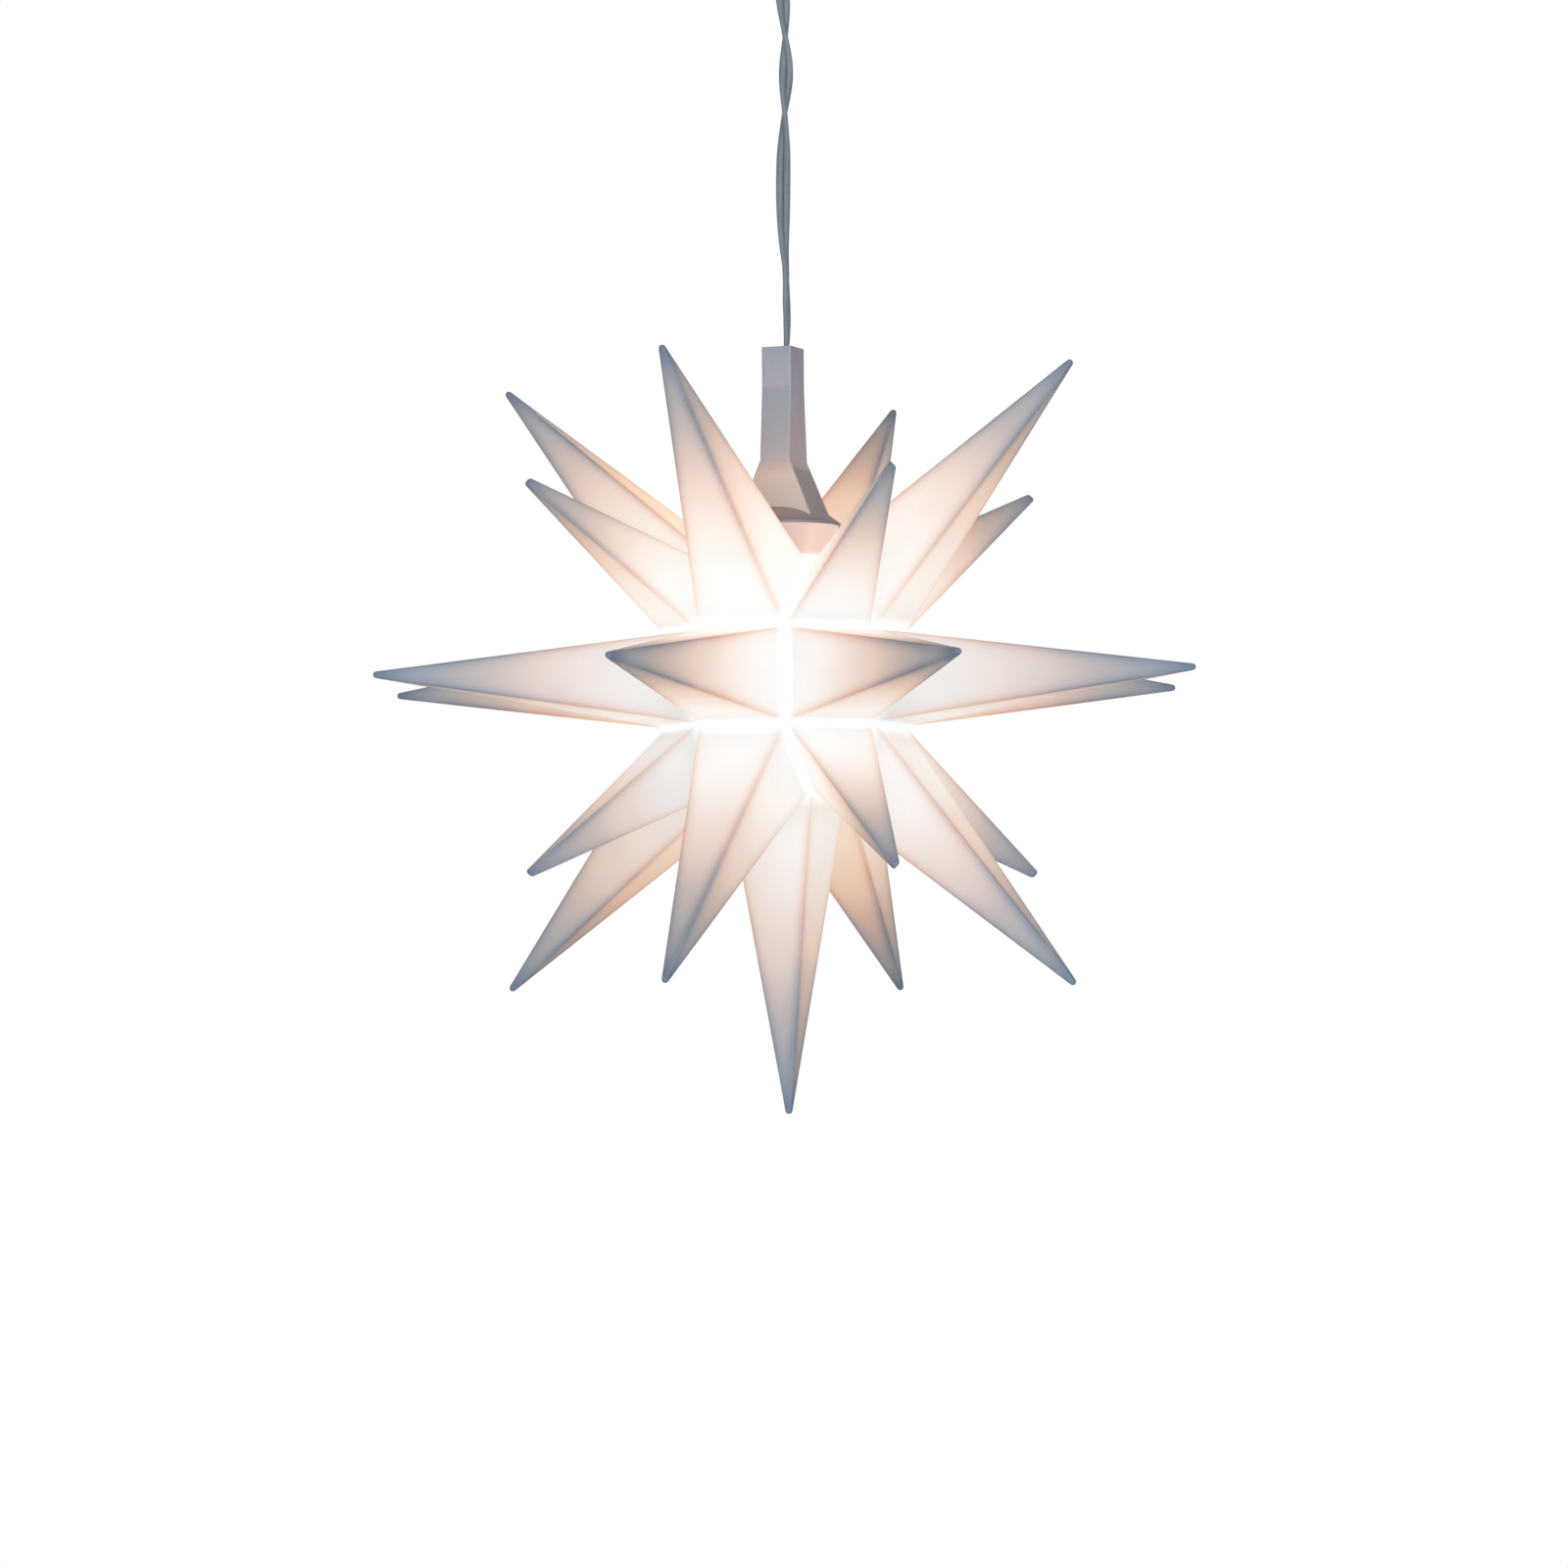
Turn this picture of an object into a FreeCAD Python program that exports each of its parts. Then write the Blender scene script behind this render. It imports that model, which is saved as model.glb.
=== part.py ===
import FreeCAD, Part
import Sketcher
import os
from itertools import product
from math import cos, pi, sqrt

# A 26-sided moulded star (17 four-sided and 8 three-sided hollow points round a rhombicuboctahedral core) that
# hangs from a small lampholder on a twisted pair cord.  The origin is on the ceiling, +Z is up, and everything
# hangs below it.  The square faces of the core look along +X, -X, +Y, -Y, +Z and -Z.

doc = FreeCAD.newDocument("moravian_star_pendant")
sheet = doc.addObject("Spreadsheet::Sheet", "Sizes")
V = FreeCAD.Vector

# ------------------------------------------------------------------------------------------------------------
# Driving dimensions, millimetres and degrees
# ------------------------------------------------------------------------------------------------------------
SIZES = {
    # star
    "star_drop": 130.0,            # ceiling to star centre
    "core_edge": 14.07,            # edge of the core's squares and triangles
    "reach_four": 65.0,            # star centre to the tip of a four-sided point
    "reach_three": 50.2,           # star centre to the tip of a three-sided point
    "rim_depth": 1.6,              # depth of the mitred rim where neighbours meet
    "rim_land": 0.35,              # flat land left round the foot of each point
    "shell_wall": 0.8,
    "tip_half": 0.5,               # half width of a blunt tip
    "tip_round": 0.45,             # length of the rounded end
    "inner_tip_half": 0.15,        # half width of the hollow's end, above which the tip is solid
    "ridge_radius": 0.4,
    # collar in the top opening
    "collar_rise": 1.72,           # top of the collar above the core's top square
    "collar_outer": 6.75,
    "spigot_radius": 4.75,         # the plug's spigot, which the collar slides on
    "spigot_gap": 0.06,
    # lampholder, heights above the star centre
    "plug_foot": 18.75,            # the plug's shoulder, just above the collar
    "plug_head_radius": 8.2,
    "plug_foot_radius": 6.5,
    "plug_wall": 0.9,
    "ring_radius": 5.45,           # the plug's ring, which stands in the housing
    "ring_rise": 1.0,
    "ring_gap": 0.05,
    "flange_under": 23.3,
    "flange_rim": 0.35,
    "flange_radius": 8.6,
    "shoulder_height": 26.6,       # top of the oval shoulder that spreads to the round flange
    "shoulder_x": 4.8,
    "shoulder_y": 2.9,
    "flare_foot": 24.3,
    "flare_x": 6.1,
    "flare_y": 4.0,
    "neck_foot": 33.2,
    "neck_foot_y": 3.65,
    "neck_bend": 44.0,
    "neck_top": 50.4,
    "neck_x": 2.4,
    "neck_y": 2.7,
    "housing_wall": 0.8,
    "housing_roof": 1.2,
    "edge_round": 0.3,
    "spigot_foot": 13.4,
    "socket_radius": 3.5,
    "socket_gap": 0.05,
    "slot_length": 4.3,
    "slot_width": 2.2,
    "slot_top": 20.7,
    "contact_thick": 0.3,
    "contact_width": 1.4,
    "contact_foot": 15.5,
    "wire_bore_radius": 0.6,
    "wire_offset": 1.5,
    "lead_top": 44.5,
    "lead_offset": 0.6,            # the cores lie side by side in the neck
    "lead_bend": 30.0,
    # lamp
    "lamp_gap": 0.1,
    "lamp_pin_radius": 0.15,
    "lamp_blade_top": 20.3,
    "lamp_seat_gap": 0.3,
    "lamp_collar_radius": 2.9,
    "lamp_collar_depth": 1.5,
    "dome_radius": 2.5,
    "dome_foot": 5.2,
    "emitter_radius": 1.1,
    "emitter_depth": 1.8,
    # cord
    "cord_radius": 1.05,
    "core_radius": 0.5,
    "cord_hole_gap": 0.08,
    "cord_joint_gap": 0.3,         # between the parts of the cord that turn against each other
    "stop_radius": 1.45,
    "stop_length": 3.6,
    "stop_gap": 0.03,
    # ceiling fitting, depths below the ceiling
    "cup_radius": 27.0,
    "cup_depth": 20.0,
    "cup_wall": 1.5,
    "cup_chamfer": 2.5,
    "plate_radius": 24.6,
    "plate_thick": 1.5,
    "mount_spacing": 30.0,
    "mount_hole_radius": 1.9,
    "feed_hole_radius": 4.0,
    "feed_hole_offset": 13.0,
    "ear_drop": 9.0,
    "ear_width": 8.0,
    "ear_thick": 1.6,
    "cup_screw_radius": 1.25,
    "cup_screw_depth": 6.0,
    "cup_screw_head": 2.4,
    "cup_screw_cap": 1.5,
    "cup_screw_seat": 0.15,        # a flat head stands a little off the round cup
    "screw_gap": 0.06,
    "bush_flange_radius": 5.0,
    "bush_mouth_depth": 24.6,
    "bush_mouth_radius": 2.9,
    "bush_throat_depth": 20.8,     # the cord swings about this point
    "bush_throat_radius": 1.2,
    "bush_radius": 3.4,
    "bush_lip": 0.6,               # bush above its grip screw
    "bush_gap": 0.06,
    "nut_flats": 10.0,
    "nut_height": 2.6,
    "grip_radius": 1.0,
    "grip_nut_gap": 0.5,
    "cord_end_rise": 0.8,          # cord above the bush, where its cores part
    "block_length": 12.0,
    "block_width": 8.0,
    "block_height": 7.0,
    "block_pitch": 5.6,
    "block_bore_radius": 1.6,
    "insert_wall": 0.5,
    "block_screw_radius": 1.1,
    "block_screw_depth": 5.0,
}
for row, (alias, size) in enumerate(SIZES.items(), start=1):
    sheet.set(f"A{row}", alias)
    sheet.set(f"B{row}", str(size))
    sheet.setAlias(f"B{row}", alias)
doc.recompute()


def size(alias):
    """Value of one cell, for placements and for features that cannot hold an expression."""
    return float(sheet.get(alias))


def in_full(expression):
    """Write Sizes.cord_radius for the word cord_radius, and so on for every size of the sheet."""
    words = expression.replace("(", " ( ").replace(")", " ) ").split()
    return " ".join("Sizes." + word if word in SIZES else word for word in words)


def evaluate(expression):
    """Number that an expression of the sheet gives."""
    return float(sheet.evalExpression(in_full(expression)))


def bind(feature, **sizes):
    """Tie properties of a feature to expressions of the sheet, such as Radius='cord_radius'."""
    for name, expression in sizes.items():
        feature.setExpression(name.replace("__", "."), in_full(expression))
    return feature


def move(feature, x="0", y="0", z="0"):
    """Place a feature by expressions of the sheet."""
    return bind(feature, Placement__Base__x=x, Placement__Base__y=y, Placement__Base__z=z)


def turn(feature, axis, degrees):
    feature.Placement.Rotation = FreeCAD.Rotation(axis, degrees)
    return feature


def cylinder(name, radius, height, z, x="0", y="0"):
    part = doc.addObject("Part::Cylinder", name)
    bind(part, Radius=radius, Height=height)
    return move(part, x, y, z)


def cone(name, radius_low, radius_high, height, z):
    part = doc.addObject("Part::Cone", name)
    bind(part, Radius1=radius_low, Radius2=radius_high, Height=height)
    return move(part, z=z)


def box(name, length, width, height, z, x="0", y="0"):
    """A box centred on x and y, with its foot at z."""
    part = doc.addObject("Part::Box", name)
    bind(part, Length=length, Width=width, Height=height)
    return move(part, f"( {x} ) - ( {length} ) / 2", f"( {y} ) - ( {width} ) / 2", z)


def fuse(name, parts):
    joined = doc.addObject("Part::MultiFuse", name)
    joined.Shapes = parts
    joined.Refine = True
    return joined


def cut(name, base, tool):
    result = doc.addObject("Part::Cut", name)
    result.Base, result.Tool = base, tool
    return result


def taper(name, low, high, foot, head):
    """Block that tapers between two levels; foot and head are its half sizes along X and Y."""
    block = doc.addObject("Part::Wedge", name)
    block.Placement.Rotation = FreeCAD.Rotation(V(1, 0, 0), 90)
    return bind(block, Ymin=low, Ymax=high,
                Xmin=f"0 - ( {foot[0]} )", Xmax=foot[0], X2min=f"0 - ( {head[0]} )", X2max=head[0],
                Zmin=f"0 - ( {foot[1]} )", Zmax=foot[1], Z2min=f"0 - ( {head[1]} )", Z2max=head[1])


def three_sided_taper(name, low, high, foot, head):
    """Three-sided block that tapers: what three blocks share, each with one leaning side."""
    far = f"3 * ( {foot} + {head} )"
    blocks = []
    for number in range(3):
        block = taper(f"{name}_side_{number}", low, high, (foot, far), (head, far))
        bind(block, Xmin=f"0 - {far}", X2min=f"0 - {far}")
        block.Placement.Rotation = FreeCAD.Rotation(V(0, 0, 1), 120 * number) * block.Placement.Rotation
        blocks.append(block)
    shared = doc.addObject("Part::MultiCommon", name)
    shared.Shapes = blocks
    return shared


pieces = []


def piece(feature, label):
    """Keep a finished feature as one sub-part with its own name."""
    feature.Label = label
    pieces.append(feature)
    return feature


# ------------------------------------------------------------------------------------------------------------
# Star: the core's faces
# ------------------------------------------------------------------------------------------------------------
FAR = (1 + sqrt(2)) / 2          # distance of a square face from the centre, in core edges


def core_vertices():
    """Corners of the core, in core edges: every order and sign of (FAR, 1/2, 1/2)."""
    corners = []
    for far_axis in range(3):
        for signs in product((1, -1), repeat=3):
            corner = [0.5, 0.5, 0.5]
            corner[far_axis] = FAR
            corners.append(V(*[value * sign for value, sign in zip(corner, signs)]))
    return corners


def face_normals(nonzero):
    """Outward directions with that many non-zero terms: 1 and 2 are squares, 3 are triangles."""
    found = []
    for direction in product((1, 0, -1), repeat=3):
        if sum(abs(term) for term in direction) == nonzero:
            found.append(V(*direction).normalize())
    return found


CORNERS = core_vertices()


def face_turn(normal, sides):
    """Turn that points +Z along the normal and +X at the middle of one edge of that face."""
    corner = max(CORNERS, key=lambda c: (round(c.dot(normal), 6), round(c.x, 6), round(c.y, 6), c.z))
    across = FreeCAD.Rotation(normal, 180 / sides).multVec(corner - normal * corner.dot(normal))
    return FreeCAD.Rotation(across, normal.cross(across), normal, "ZXY")


# ------------------------------------------------------------------------------------------------------------
# Star: one hollow point of each kind, standing on +Z with the star centre at its origin
# ------------------------------------------------------------------------------------------------------------
def ridge_fillet(name, base):
    """Round the long ridges of a point."""
    doc.recompute()
    rounded = doc.addObject("Part::Fillet", name)
    rounded.Base = base
    radius = size("ridge_radius")
    ridges = []
    for number, edge in enumerate(base.Shape.Edges, start=1):
        low, high = sorted(vertex.Z for vertex in edge.Vertexes)
        if high - low > edge.Length / 2:
            ridges.append((number, radius, radius))
    rounded.Edges = ridges
    return rounded


class PointKind:
    """Sizes of a point with so many sides, as expressions of the sheet."""

    def __init__(self, sides, reach):
        self.sides = sides
        self.reach = reach
        self.name = f"point{sides}"
        # the face's distance from the centre and its half width, in core edges
        self.distance = FAR if sides == 4 else (3 + sqrt(2)) / (2 * sqrt(3))
        self.half = 0.5 if sides == 4 else 0.5 / sqrt(3)

    def face(self):
        return f"( core_edge * {self.distance!r} )"

    def half_width(self):
        return f"( core_edge * {self.half!r} )"

    def inward(self):
        """How much smaller the core is at the depth of the rim."""
        return f"( 1 - rim_depth / ( core_edge * {FAR!r} ) )"

    def taper(self, tag, low, high, foot, head):
        name = f"{self.name}_{tag}"
        if self.sides == 4:
            return taper(name, low, high, (foot, foot), (head, head))
        return three_sided_taper(name, low, high, foot, head)

    def rim(self, tag):
        """Mitred rim: it narrows towards the star centre, so that neighbours meet face to face."""
        return self.taper(tag, f"{self.face()} * {self.inward()}", self.face(),
                          f"{self.half_width()} * {self.inward()}", self.half_width())

    def outside(self):
        tip_start = f"{self.reach} - tip_round"
        spire = self.taper("spire_sharp", self.face(), tip_start, f"{self.half_width()} - rim_land",
                           "tip_half")
        spire = ridge_fillet(f"{self.name}_spire", spire)
        blunt = self.taper("blunt", tip_start, self.reach, "tip_half * 0.8", "tip_half * 0.45")
        return fuse(f"{self.name}_outside", [spire, blunt, self.rim("rim")])

    def cavity(self):
        """Inside of the shell: it stops short of the tip, which is solid."""
        inner_foot = f"{self.half_width()} - rim_land - shell_wall"
        lean = f"( ( {self.half_width()} - rim_land - tip_half ) / ( {self.reach} - tip_round - {self.face()} ) )"
        apex = f"{self.face()} + ( {inner_foot} - inner_tip_half ) / {lean}"
        mouth = self.taper("mouth", f"{self.face()} * {self.inward()} - 1", self.face(), inner_foot,
                           inner_foot)
        inside = self.taper("inside", self.face(), apex, inner_foot, "inner_tip_half")
        return fuse(f"{self.name}_cavity", [mouth, inside])


FOUR = PointKind(4, "reach_four")
THREE = PointKind(3, "reach_three")
COMPASS = {1: "p", 0: "0", -1: "n"}


def point_label(kind, normal):
    """Name a point by its direction, such as four_xp_z0 for the one that looks along +X."""
    names = "".join(axis + COMPASS[0 if abs(t) < 0.1 else (1 if t > 0 else -1)] + "_"
                    for axis, t in zip("xyz", normal))
    return f"{kind}_point_{names[:-1]}"


def add_points(kind, kind_name, normals):
    outside, cavity = kind.outside(), kind.cavity()
    for normal in normals:
        label = point_label(kind_name, normal)
        point = cut(label, outside, cavity)
        point.Placement = FreeCAD.Placement(V(0, 0, 0), face_turn(normal, kind.sides))
        move(point, z="0 - star_drop")
        piece(point, label)


squares = [normal for normal in face_normals(1) + face_normals(2) if normal.z < 0.99]
add_points(FOUR, "four", squares)
add_points(THREE, "three", face_normals(3))

# ------------------------------------------------------------------------------------------------------------
# Star: collar in the top opening
# ------------------------------------------------------------------------------------------------------------
UP = "( 0 - star_drop )"         # height of the star centre


def collar():
    plate = move(FOUR.rim("collar_plate"), z=UP)
    top = f"( {UP} + {FOUR.face()} )"
    ring = cylinder("collar_ring", "collar_outer", "collar_rise", top)
    bore_foot = f"( {UP} + {FOUR.face()} * {FOUR.inward()} - 1 )"
    bore = cylinder("collar_bore", "spigot_radius + spigot_gap", "rim_depth + collar_rise + 2", bore_foot)
    return piece(cut("star_collar", fuse("collar_solid", [plate, ring]), bore), "star_collar")


collar()


# ------------------------------------------------------------------------------------------------------------
# Lampholder: housing with a slim neck, a wedge-shaped flare and an oval shoulder that spreads to a round flange
# ------------------------------------------------------------------------------------------------------------
def above(height):
    """A height above the star centre, in the frame of the ceiling."""
    return f"( {UP} + ( {height} ) )"


def ring_outline(name, kind, height, **sizes):
    outline = doc.addObject(f"Part::{kind}", name)
    bind(outline, **sizes)
    return move(outline, z=height)


def upright_fillet(name, base, radius_alias):
    """Round the edges that run up the neck and its flare."""
    doc.recompute()
    rounded = doc.addObject("Part::Fillet", name)
    rounded.Base = base
    radius = size(radius_alias)
    chosen = []
    for number, edge in enumerate(base.Shape.Edges, start=1):
        low, high = sorted(vertex.Z for vertex in edge.Vertexes)
        if high - low > 0.7 * edge.Length:
            chosen.append((number, radius, radius))
    rounded.Edges = chosen
    return rounded


def neck_and_flare(tag, wall, foot, roof):
    """The flare, the neck and its straight head as one solid, drawn in by a wall."""
    levels = [
        (foot, (f"flare_x - {wall}", f"flare_y - {wall}")),
        (above("neck_foot"), (f"neck_x - {wall}", f"neck_foot_y - {wall}")),
        (above("neck_bend"), (f"neck_x - {wall}", f"neck_y - {wall}")),
        (roof, (f"neck_x - {wall}", f"neck_y - {wall}")),
    ]
    return fuse(f"housing_{tag}", [
        taper(f"housing_{tag}_{part}", low, high, low_half, high_half)
        for part, (low, low_half), (high, high_half) in zip(("flare", "neck", "head"), levels, levels[1:])])


def holder_housing():
    neck = neck_and_flare("outside", "0", above("flare_foot"), above("neck_top"))
    neck = upright_fillet("housing_outside_rounded", neck, "edge_round")
    rim_top = "flange_under + flange_rim"
    wide = ring_outline("shoulder_rim", "Circle", above(rim_top), Radius="flange_radius")
    oval = ring_outline("shoulder_oval", "Ellipse", above("shoulder_height"), MajorRadius="shoulder_x",
                        MinorRadius="shoulder_y")
    shoulder = doc.addObject("Part::Loft", "housing_shoulder")
    shoulder.Sections, shoulder.Solid, shoulder.Ruled = [wide, oval], True, True
    rim = cylinder("housing_rim", "flange_radius", "flange_rim", above("flange_under"))
    solid = fuse("housing_solid", [neck, shoulder, rim])
    seat_top = "flange_under + ring_rise + ring_gap"
    inside = neck_and_flare("inside", "housing_wall", above(seat_top), above("neck_top - housing_roof"))
    seat = cylinder("housing_seat", "ring_radius + ring_gap", "ring_rise + ring_gap", above("flange_under"))
    cord_hole = cylinder("housing_cord_hole", "cord_radius + cord_hole_gap", "3 * housing_roof",
                         above("neck_top - 2 * housing_roof"))
    return piece(cut("holder_housing", solid, fuse("housing_hollow", [inside, seat, cord_hole])),
                 "holder_housing")


def holder_plug():
    """Inverted cone that glows above the collar, its spigot below and its ring above."""
    head = "flange_under - plug_foot"
    shell = cone("plug_cone", "plug_foot_radius", "plug_head_radius", head, above("plug_foot"))
    spigot = cylinder("plug_spigot", "spigot_radius", "plug_foot - spigot_foot", above("spigot_foot"))
    ring = cylinder("plug_ring", "ring_radius", "ring_rise", above("flange_under"))
    core = cylinder("plug_core", "ring_radius", f"{head} - plug_wall", above("plug_foot + plug_wall"))
    pocket_cone = cone("plug_pocket_cone", "plug_foot_radius - plug_wall", "plug_head_radius - plug_wall",
                       f"{head} - plug_wall", above("plug_foot + plug_wall"))
    pocket = cut("plug_pocket", pocket_cone, core)
    bore = cylinder("plug_bore", "socket_radius + socket_gap",
                    "flange_under + 2 * ring_rise - spigot_foot + 1", above("spigot_foot - 1"))
    solid = fuse("plug_solid", [shell, spigot, ring])
    return piece(cut("holder_plug", solid, fuse("plug_hollow", [pocket, bore])), "holder_plug")


def pair(name, make, offset):
    """Fuse two copies that lie at plus and minus the offset along X."""
    return fuse(name, [make(f"{name}_{side}", f"{sign} * ( {offset} )")
                       for side, sign in (("left", "-1"), ("right", "1"))])


def lamp_socket():
    top = "flange_under + ring_rise"
    body = cylinder("socket_body", "socket_radius", f"{top} - spigot_foot", above("spigot_foot"))
    slot = box("socket_slot", "slot_length", "slot_width", "slot_top - spigot_foot + 1",
               above("spigot_foot - 1"))
    bores = pair("socket_wire_bores", lambda name, x: cylinder(
        name, "wire_bore_radius", f"{top} - slot_top + 2", above("slot_top - 1"), x=x), "wire_offset")
    return piece(cut("lamp_socket", body, fuse("socket_hollow", [slot, bores])), "lamp_socket")


def socket_contact(label, sign):
    """Blade on the slot's end wall, bent over to a tail in the wire bore."""
    blade_x = f"{sign} * ( slot_length / 2 - contact_thick / 2 )"
    blade = box(f"{label}_blade", "contact_thick", "contact_width", "slot_top - contact_foot",
                above("contact_foot"), x=blade_x)
    arm_length = "( slot_length / 2 - wire_offset + contact_thick )"
    arm = box(f"{label}_arm", arm_length, "contact_width", "contact_thick", above("slot_top - contact_thick"),
              x=f"{sign} * ( slot_length / 2 - {arm_length} / 2 )")
    tail = cylinder(f"{label}_tail", "contact_thick", "1.5", above("slot_top - contact_thick / 2"),
                    x=f"{sign} * wire_offset")
    return piece(fuse(label, [blade, arm, tail]), label)


def wire_run(name, radius, start, end):
    """Round wire between two points, each a triple of expressions; its ends are square to it."""
    run = doc.addObject("Part::Cylinder", name)
    values = [[evaluate(term) for term in point] for point in (start, end)]
    along = V(*values[1]) - V(*values[0])
    bind(run, Radius=radius)
    run.Height = along.Length
    run.Placement.Rotation = FreeCAD.Rotation(V(0, 0, 1), along)
    return move(run, *start)


def elbow(name, radius, centre):
    ball = doc.addObject("Part::Sphere", name)
    bind(ball, Radius=radius)
    return move(ball, *centre)


def bent_wire(label, radius, points):
    """Wire through its points, with a ball at each bend."""
    parts = [wire_run(f"{label}_run_{n}", radius, points[n], points[n + 1]) for n in range(len(points) - 1)]
    parts += [elbow(f"{label}_elbow_{n}", radius, points[n]) for n in range(1, len(points) - 1)]
    return fuse(label, parts)


def holder_lead(sign):
    x_socket, x_neck = f"{sign} * wire_offset", f"{sign} * lead_offset"
    tail_top = "slot_top - contact_thick / 2 + 1.5"
    points = [
        (x_socket, "0", above(f"{tail_top} + 0.05")),
        (x_socket, "0", above("flange_under + ring_rise + 0.3")),
        (x_neck, "0", above("lead_bend")),
        (x_neck, "0", above("lead_top")),
    ]
    return bent_wire(f"lead_{'left' if sign == '-1' else 'right'}", "core_radius", points)


def cord_in_neck():
    """Foot of the cord in the roof of the neck, and the crimped stop that hangs the lampholder on it."""
    foot = cylinder("cord_foot", "cord_radius", "neck_top - 2 * cord_joint_gap - lead_top - 0.05",
                    above("lead_top + 0.05"))
    piece(foot, "cord_foot")
    top = "neck_top - housing_roof"
    sleeve = cylinder("stop_sleeve", "stop_radius", "stop_length", above(f"{top} - stop_length"))
    hole = cylinder("stop_hole", "cord_radius + stop_gap", "stop_length + 2",
                    above(f"{top} - stop_length - 1"))
    piece(cut("cord_stop", sleeve, hole), "cord_stop")


holder_housing()
holder_plug()
lamp_socket()
for side, sign in (("left", "-1"), ("right", "1")):
    socket_contact(f"contact_{side}", sign)
piece(fuse("holder_leads", [holder_lead("-1"), holder_lead("1")]), "holder_leads")
cord_in_neck()


# ------------------------------------------------------------------------------------------------------------
# Lamp: push-in base with wire pins, emitter cup and clear dome
# ------------------------------------------------------------------------------------------------------------
def lamp():
    collar_top = "spigot_foot - lamp_seat_gap"
    collar_foot = f"{collar_top} - lamp_collar_depth"
    half_blade = "( slot_length / 2 - contact_thick - lamp_gap - 2 * lamp_pin_radius )"
    blade = box("lamp_blade", f"2 * {half_blade}", "slot_width - 2 * lamp_gap",
                f"lamp_blade_top - ( {collar_top} )", above(collar_top))
    disc = cylinder("lamp_disc", "lamp_collar_radius", "lamp_collar_depth", above(collar_foot))
    piece(fuse("lamp_base", [blade, disc]), "lamp_base")
    pins = pair("lamp_pins", lambda name, x: cylinder(
        name, "lamp_pin_radius", f"lamp_blade_top - ( {collar_top} )", above(collar_top), x=x),
        f"{half_blade} + lamp_pin_radius")
    piece(pins, "lamp_pins")
    barrel = cylinder("dome_barrel", "dome_radius", f"{collar_foot} - dome_foot - dome_radius",
                      above("dome_foot + dome_radius"))
    ball = elbow("dome_ball", "dome_radius", ("0", "0", above("dome_foot + dome_radius")))
    pocket = cylinder("dome_pocket", "emitter_radius + lamp_gap / 2", "emitter_depth + lamp_gap / 2",
                      above(f"{collar_foot} - emitter_depth - lamp_gap / 2"))
    piece(cut("lamp_dome", fuse("dome_solid", [barrel, ball]), pocket), "lamp_dome")
    cup = cylinder("emitter_cup", "emitter_radius", "emitter_depth", above(f"{collar_foot} - emitter_depth"))
    dish = cone("emitter_dish", "emitter_radius * 0.8", "emitter_radius * 0.4", "emitter_depth * 0.5",
                above(f"{collar_foot} - emitter_depth"))
    piece(cut("lamp_emitter", cup, dish), "lamp_emitter")


lamp()


# ------------------------------------------------------------------------------------------------------------
# Cord: pulled straight by the star, from the bush in the ceiling cup to the roof of the neck
# ------------------------------------------------------------------------------------------------------------
def hanging_cord():
    foot = above("neck_top - cord_joint_gap")
    top = "( 0 - bush_throat_depth - cord_joint_gap )"
    cord = piece(cylinder("hanging_cord", "cord_radius", f"{top} - {foot}", foot), "hanging_cord")
    doc.recompute()
    section = pi * size("cord_radius") ** 2
    length = float(cord.Height)
    print(f"cord {length:.2f} mm, straight, volume over section times length "
          f"{cord.Shape.Volume / (section * length):.6f}")


hanging_cord()


# ------------------------------------------------------------------------------------------------------------
# Ceiling fitting
# ------------------------------------------------------------------------------------------------------------
def below(depth):
    return f"( 0 - ( {depth} ) )"


# the bush hangs in the cup's floor, its nut clamps that floor and the grip screw sits over the nut
GRIP_DEPTH = "( cup_depth - cup_wall - nut_height - grip_nut_gap - grip_radius )"
BUSH_TOP = f"( {GRIP_DEPTH} - grip_radius - bush_lip )"
CORD_END = f"( {BUSH_TOP} - cord_end_rise )"


def lying(name, radius, length, x_start, y, z, direction):
    """Cylinder along a horizontal direction from a start point."""
    rod = doc.addObject("Part::Cylinder", name)
    bind(rod, Radius=radius, Height=length)
    rod.Placement.Rotation = FreeCAD.Rotation(V(0, 0, 1), direction)
    return move(rod, x_start, y, z)


def both_ends(name, radius, length, start, z):
    """Two radial cylinders, along +X and -X, that start at a distance from the axis."""
    return fuse(name, [
        lying(f"{name}_right", radius, length, start, "0", z, V(1, 0, 0)),
        lying(f"{name}_left", radius, length, f"0 - ( {start} )", "0", z, V(-1, 0, 0)),
    ])


def ceiling_plate():
    disc = cylinder("plate_disc", "plate_radius", "plate_thick", below("plate_thick"))
    ear_x = "( plate_radius - 1.5 * ear_thick )"
    ears = pair("plate_ears", lambda name, x: box(name, "ear_thick", "ear_width", "ear_drop",
                                                 below("ear_drop"), x=x), ear_x)
    holes = [cylinder(f"plate_hole_{side}", "mount_hole_radius", "3 * plate_thick", below("2 * plate_thick"),
                      y=f"{sign} * mount_spacing / 2") for side, sign in (("front", "-1"), ("rear", "1"))]
    feed = cylinder("plate_feed", "feed_hole_radius", "3 * plate_thick", below("2 * plate_thick"),
                    x="0 - feed_hole_offset")
    taps = both_ends("plate_taps", "cup_screw_radius + screw_gap", "4 * ear_thick",
                     "plate_radius - 3 * ear_thick", below("cup_screw_depth"))
    return piece(cut("ceiling_plate", fuse("plate_solid", [disc, ears]),
                     fuse("plate_holes", holes + [feed, taps])),
                 "ceiling_plate")


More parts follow.
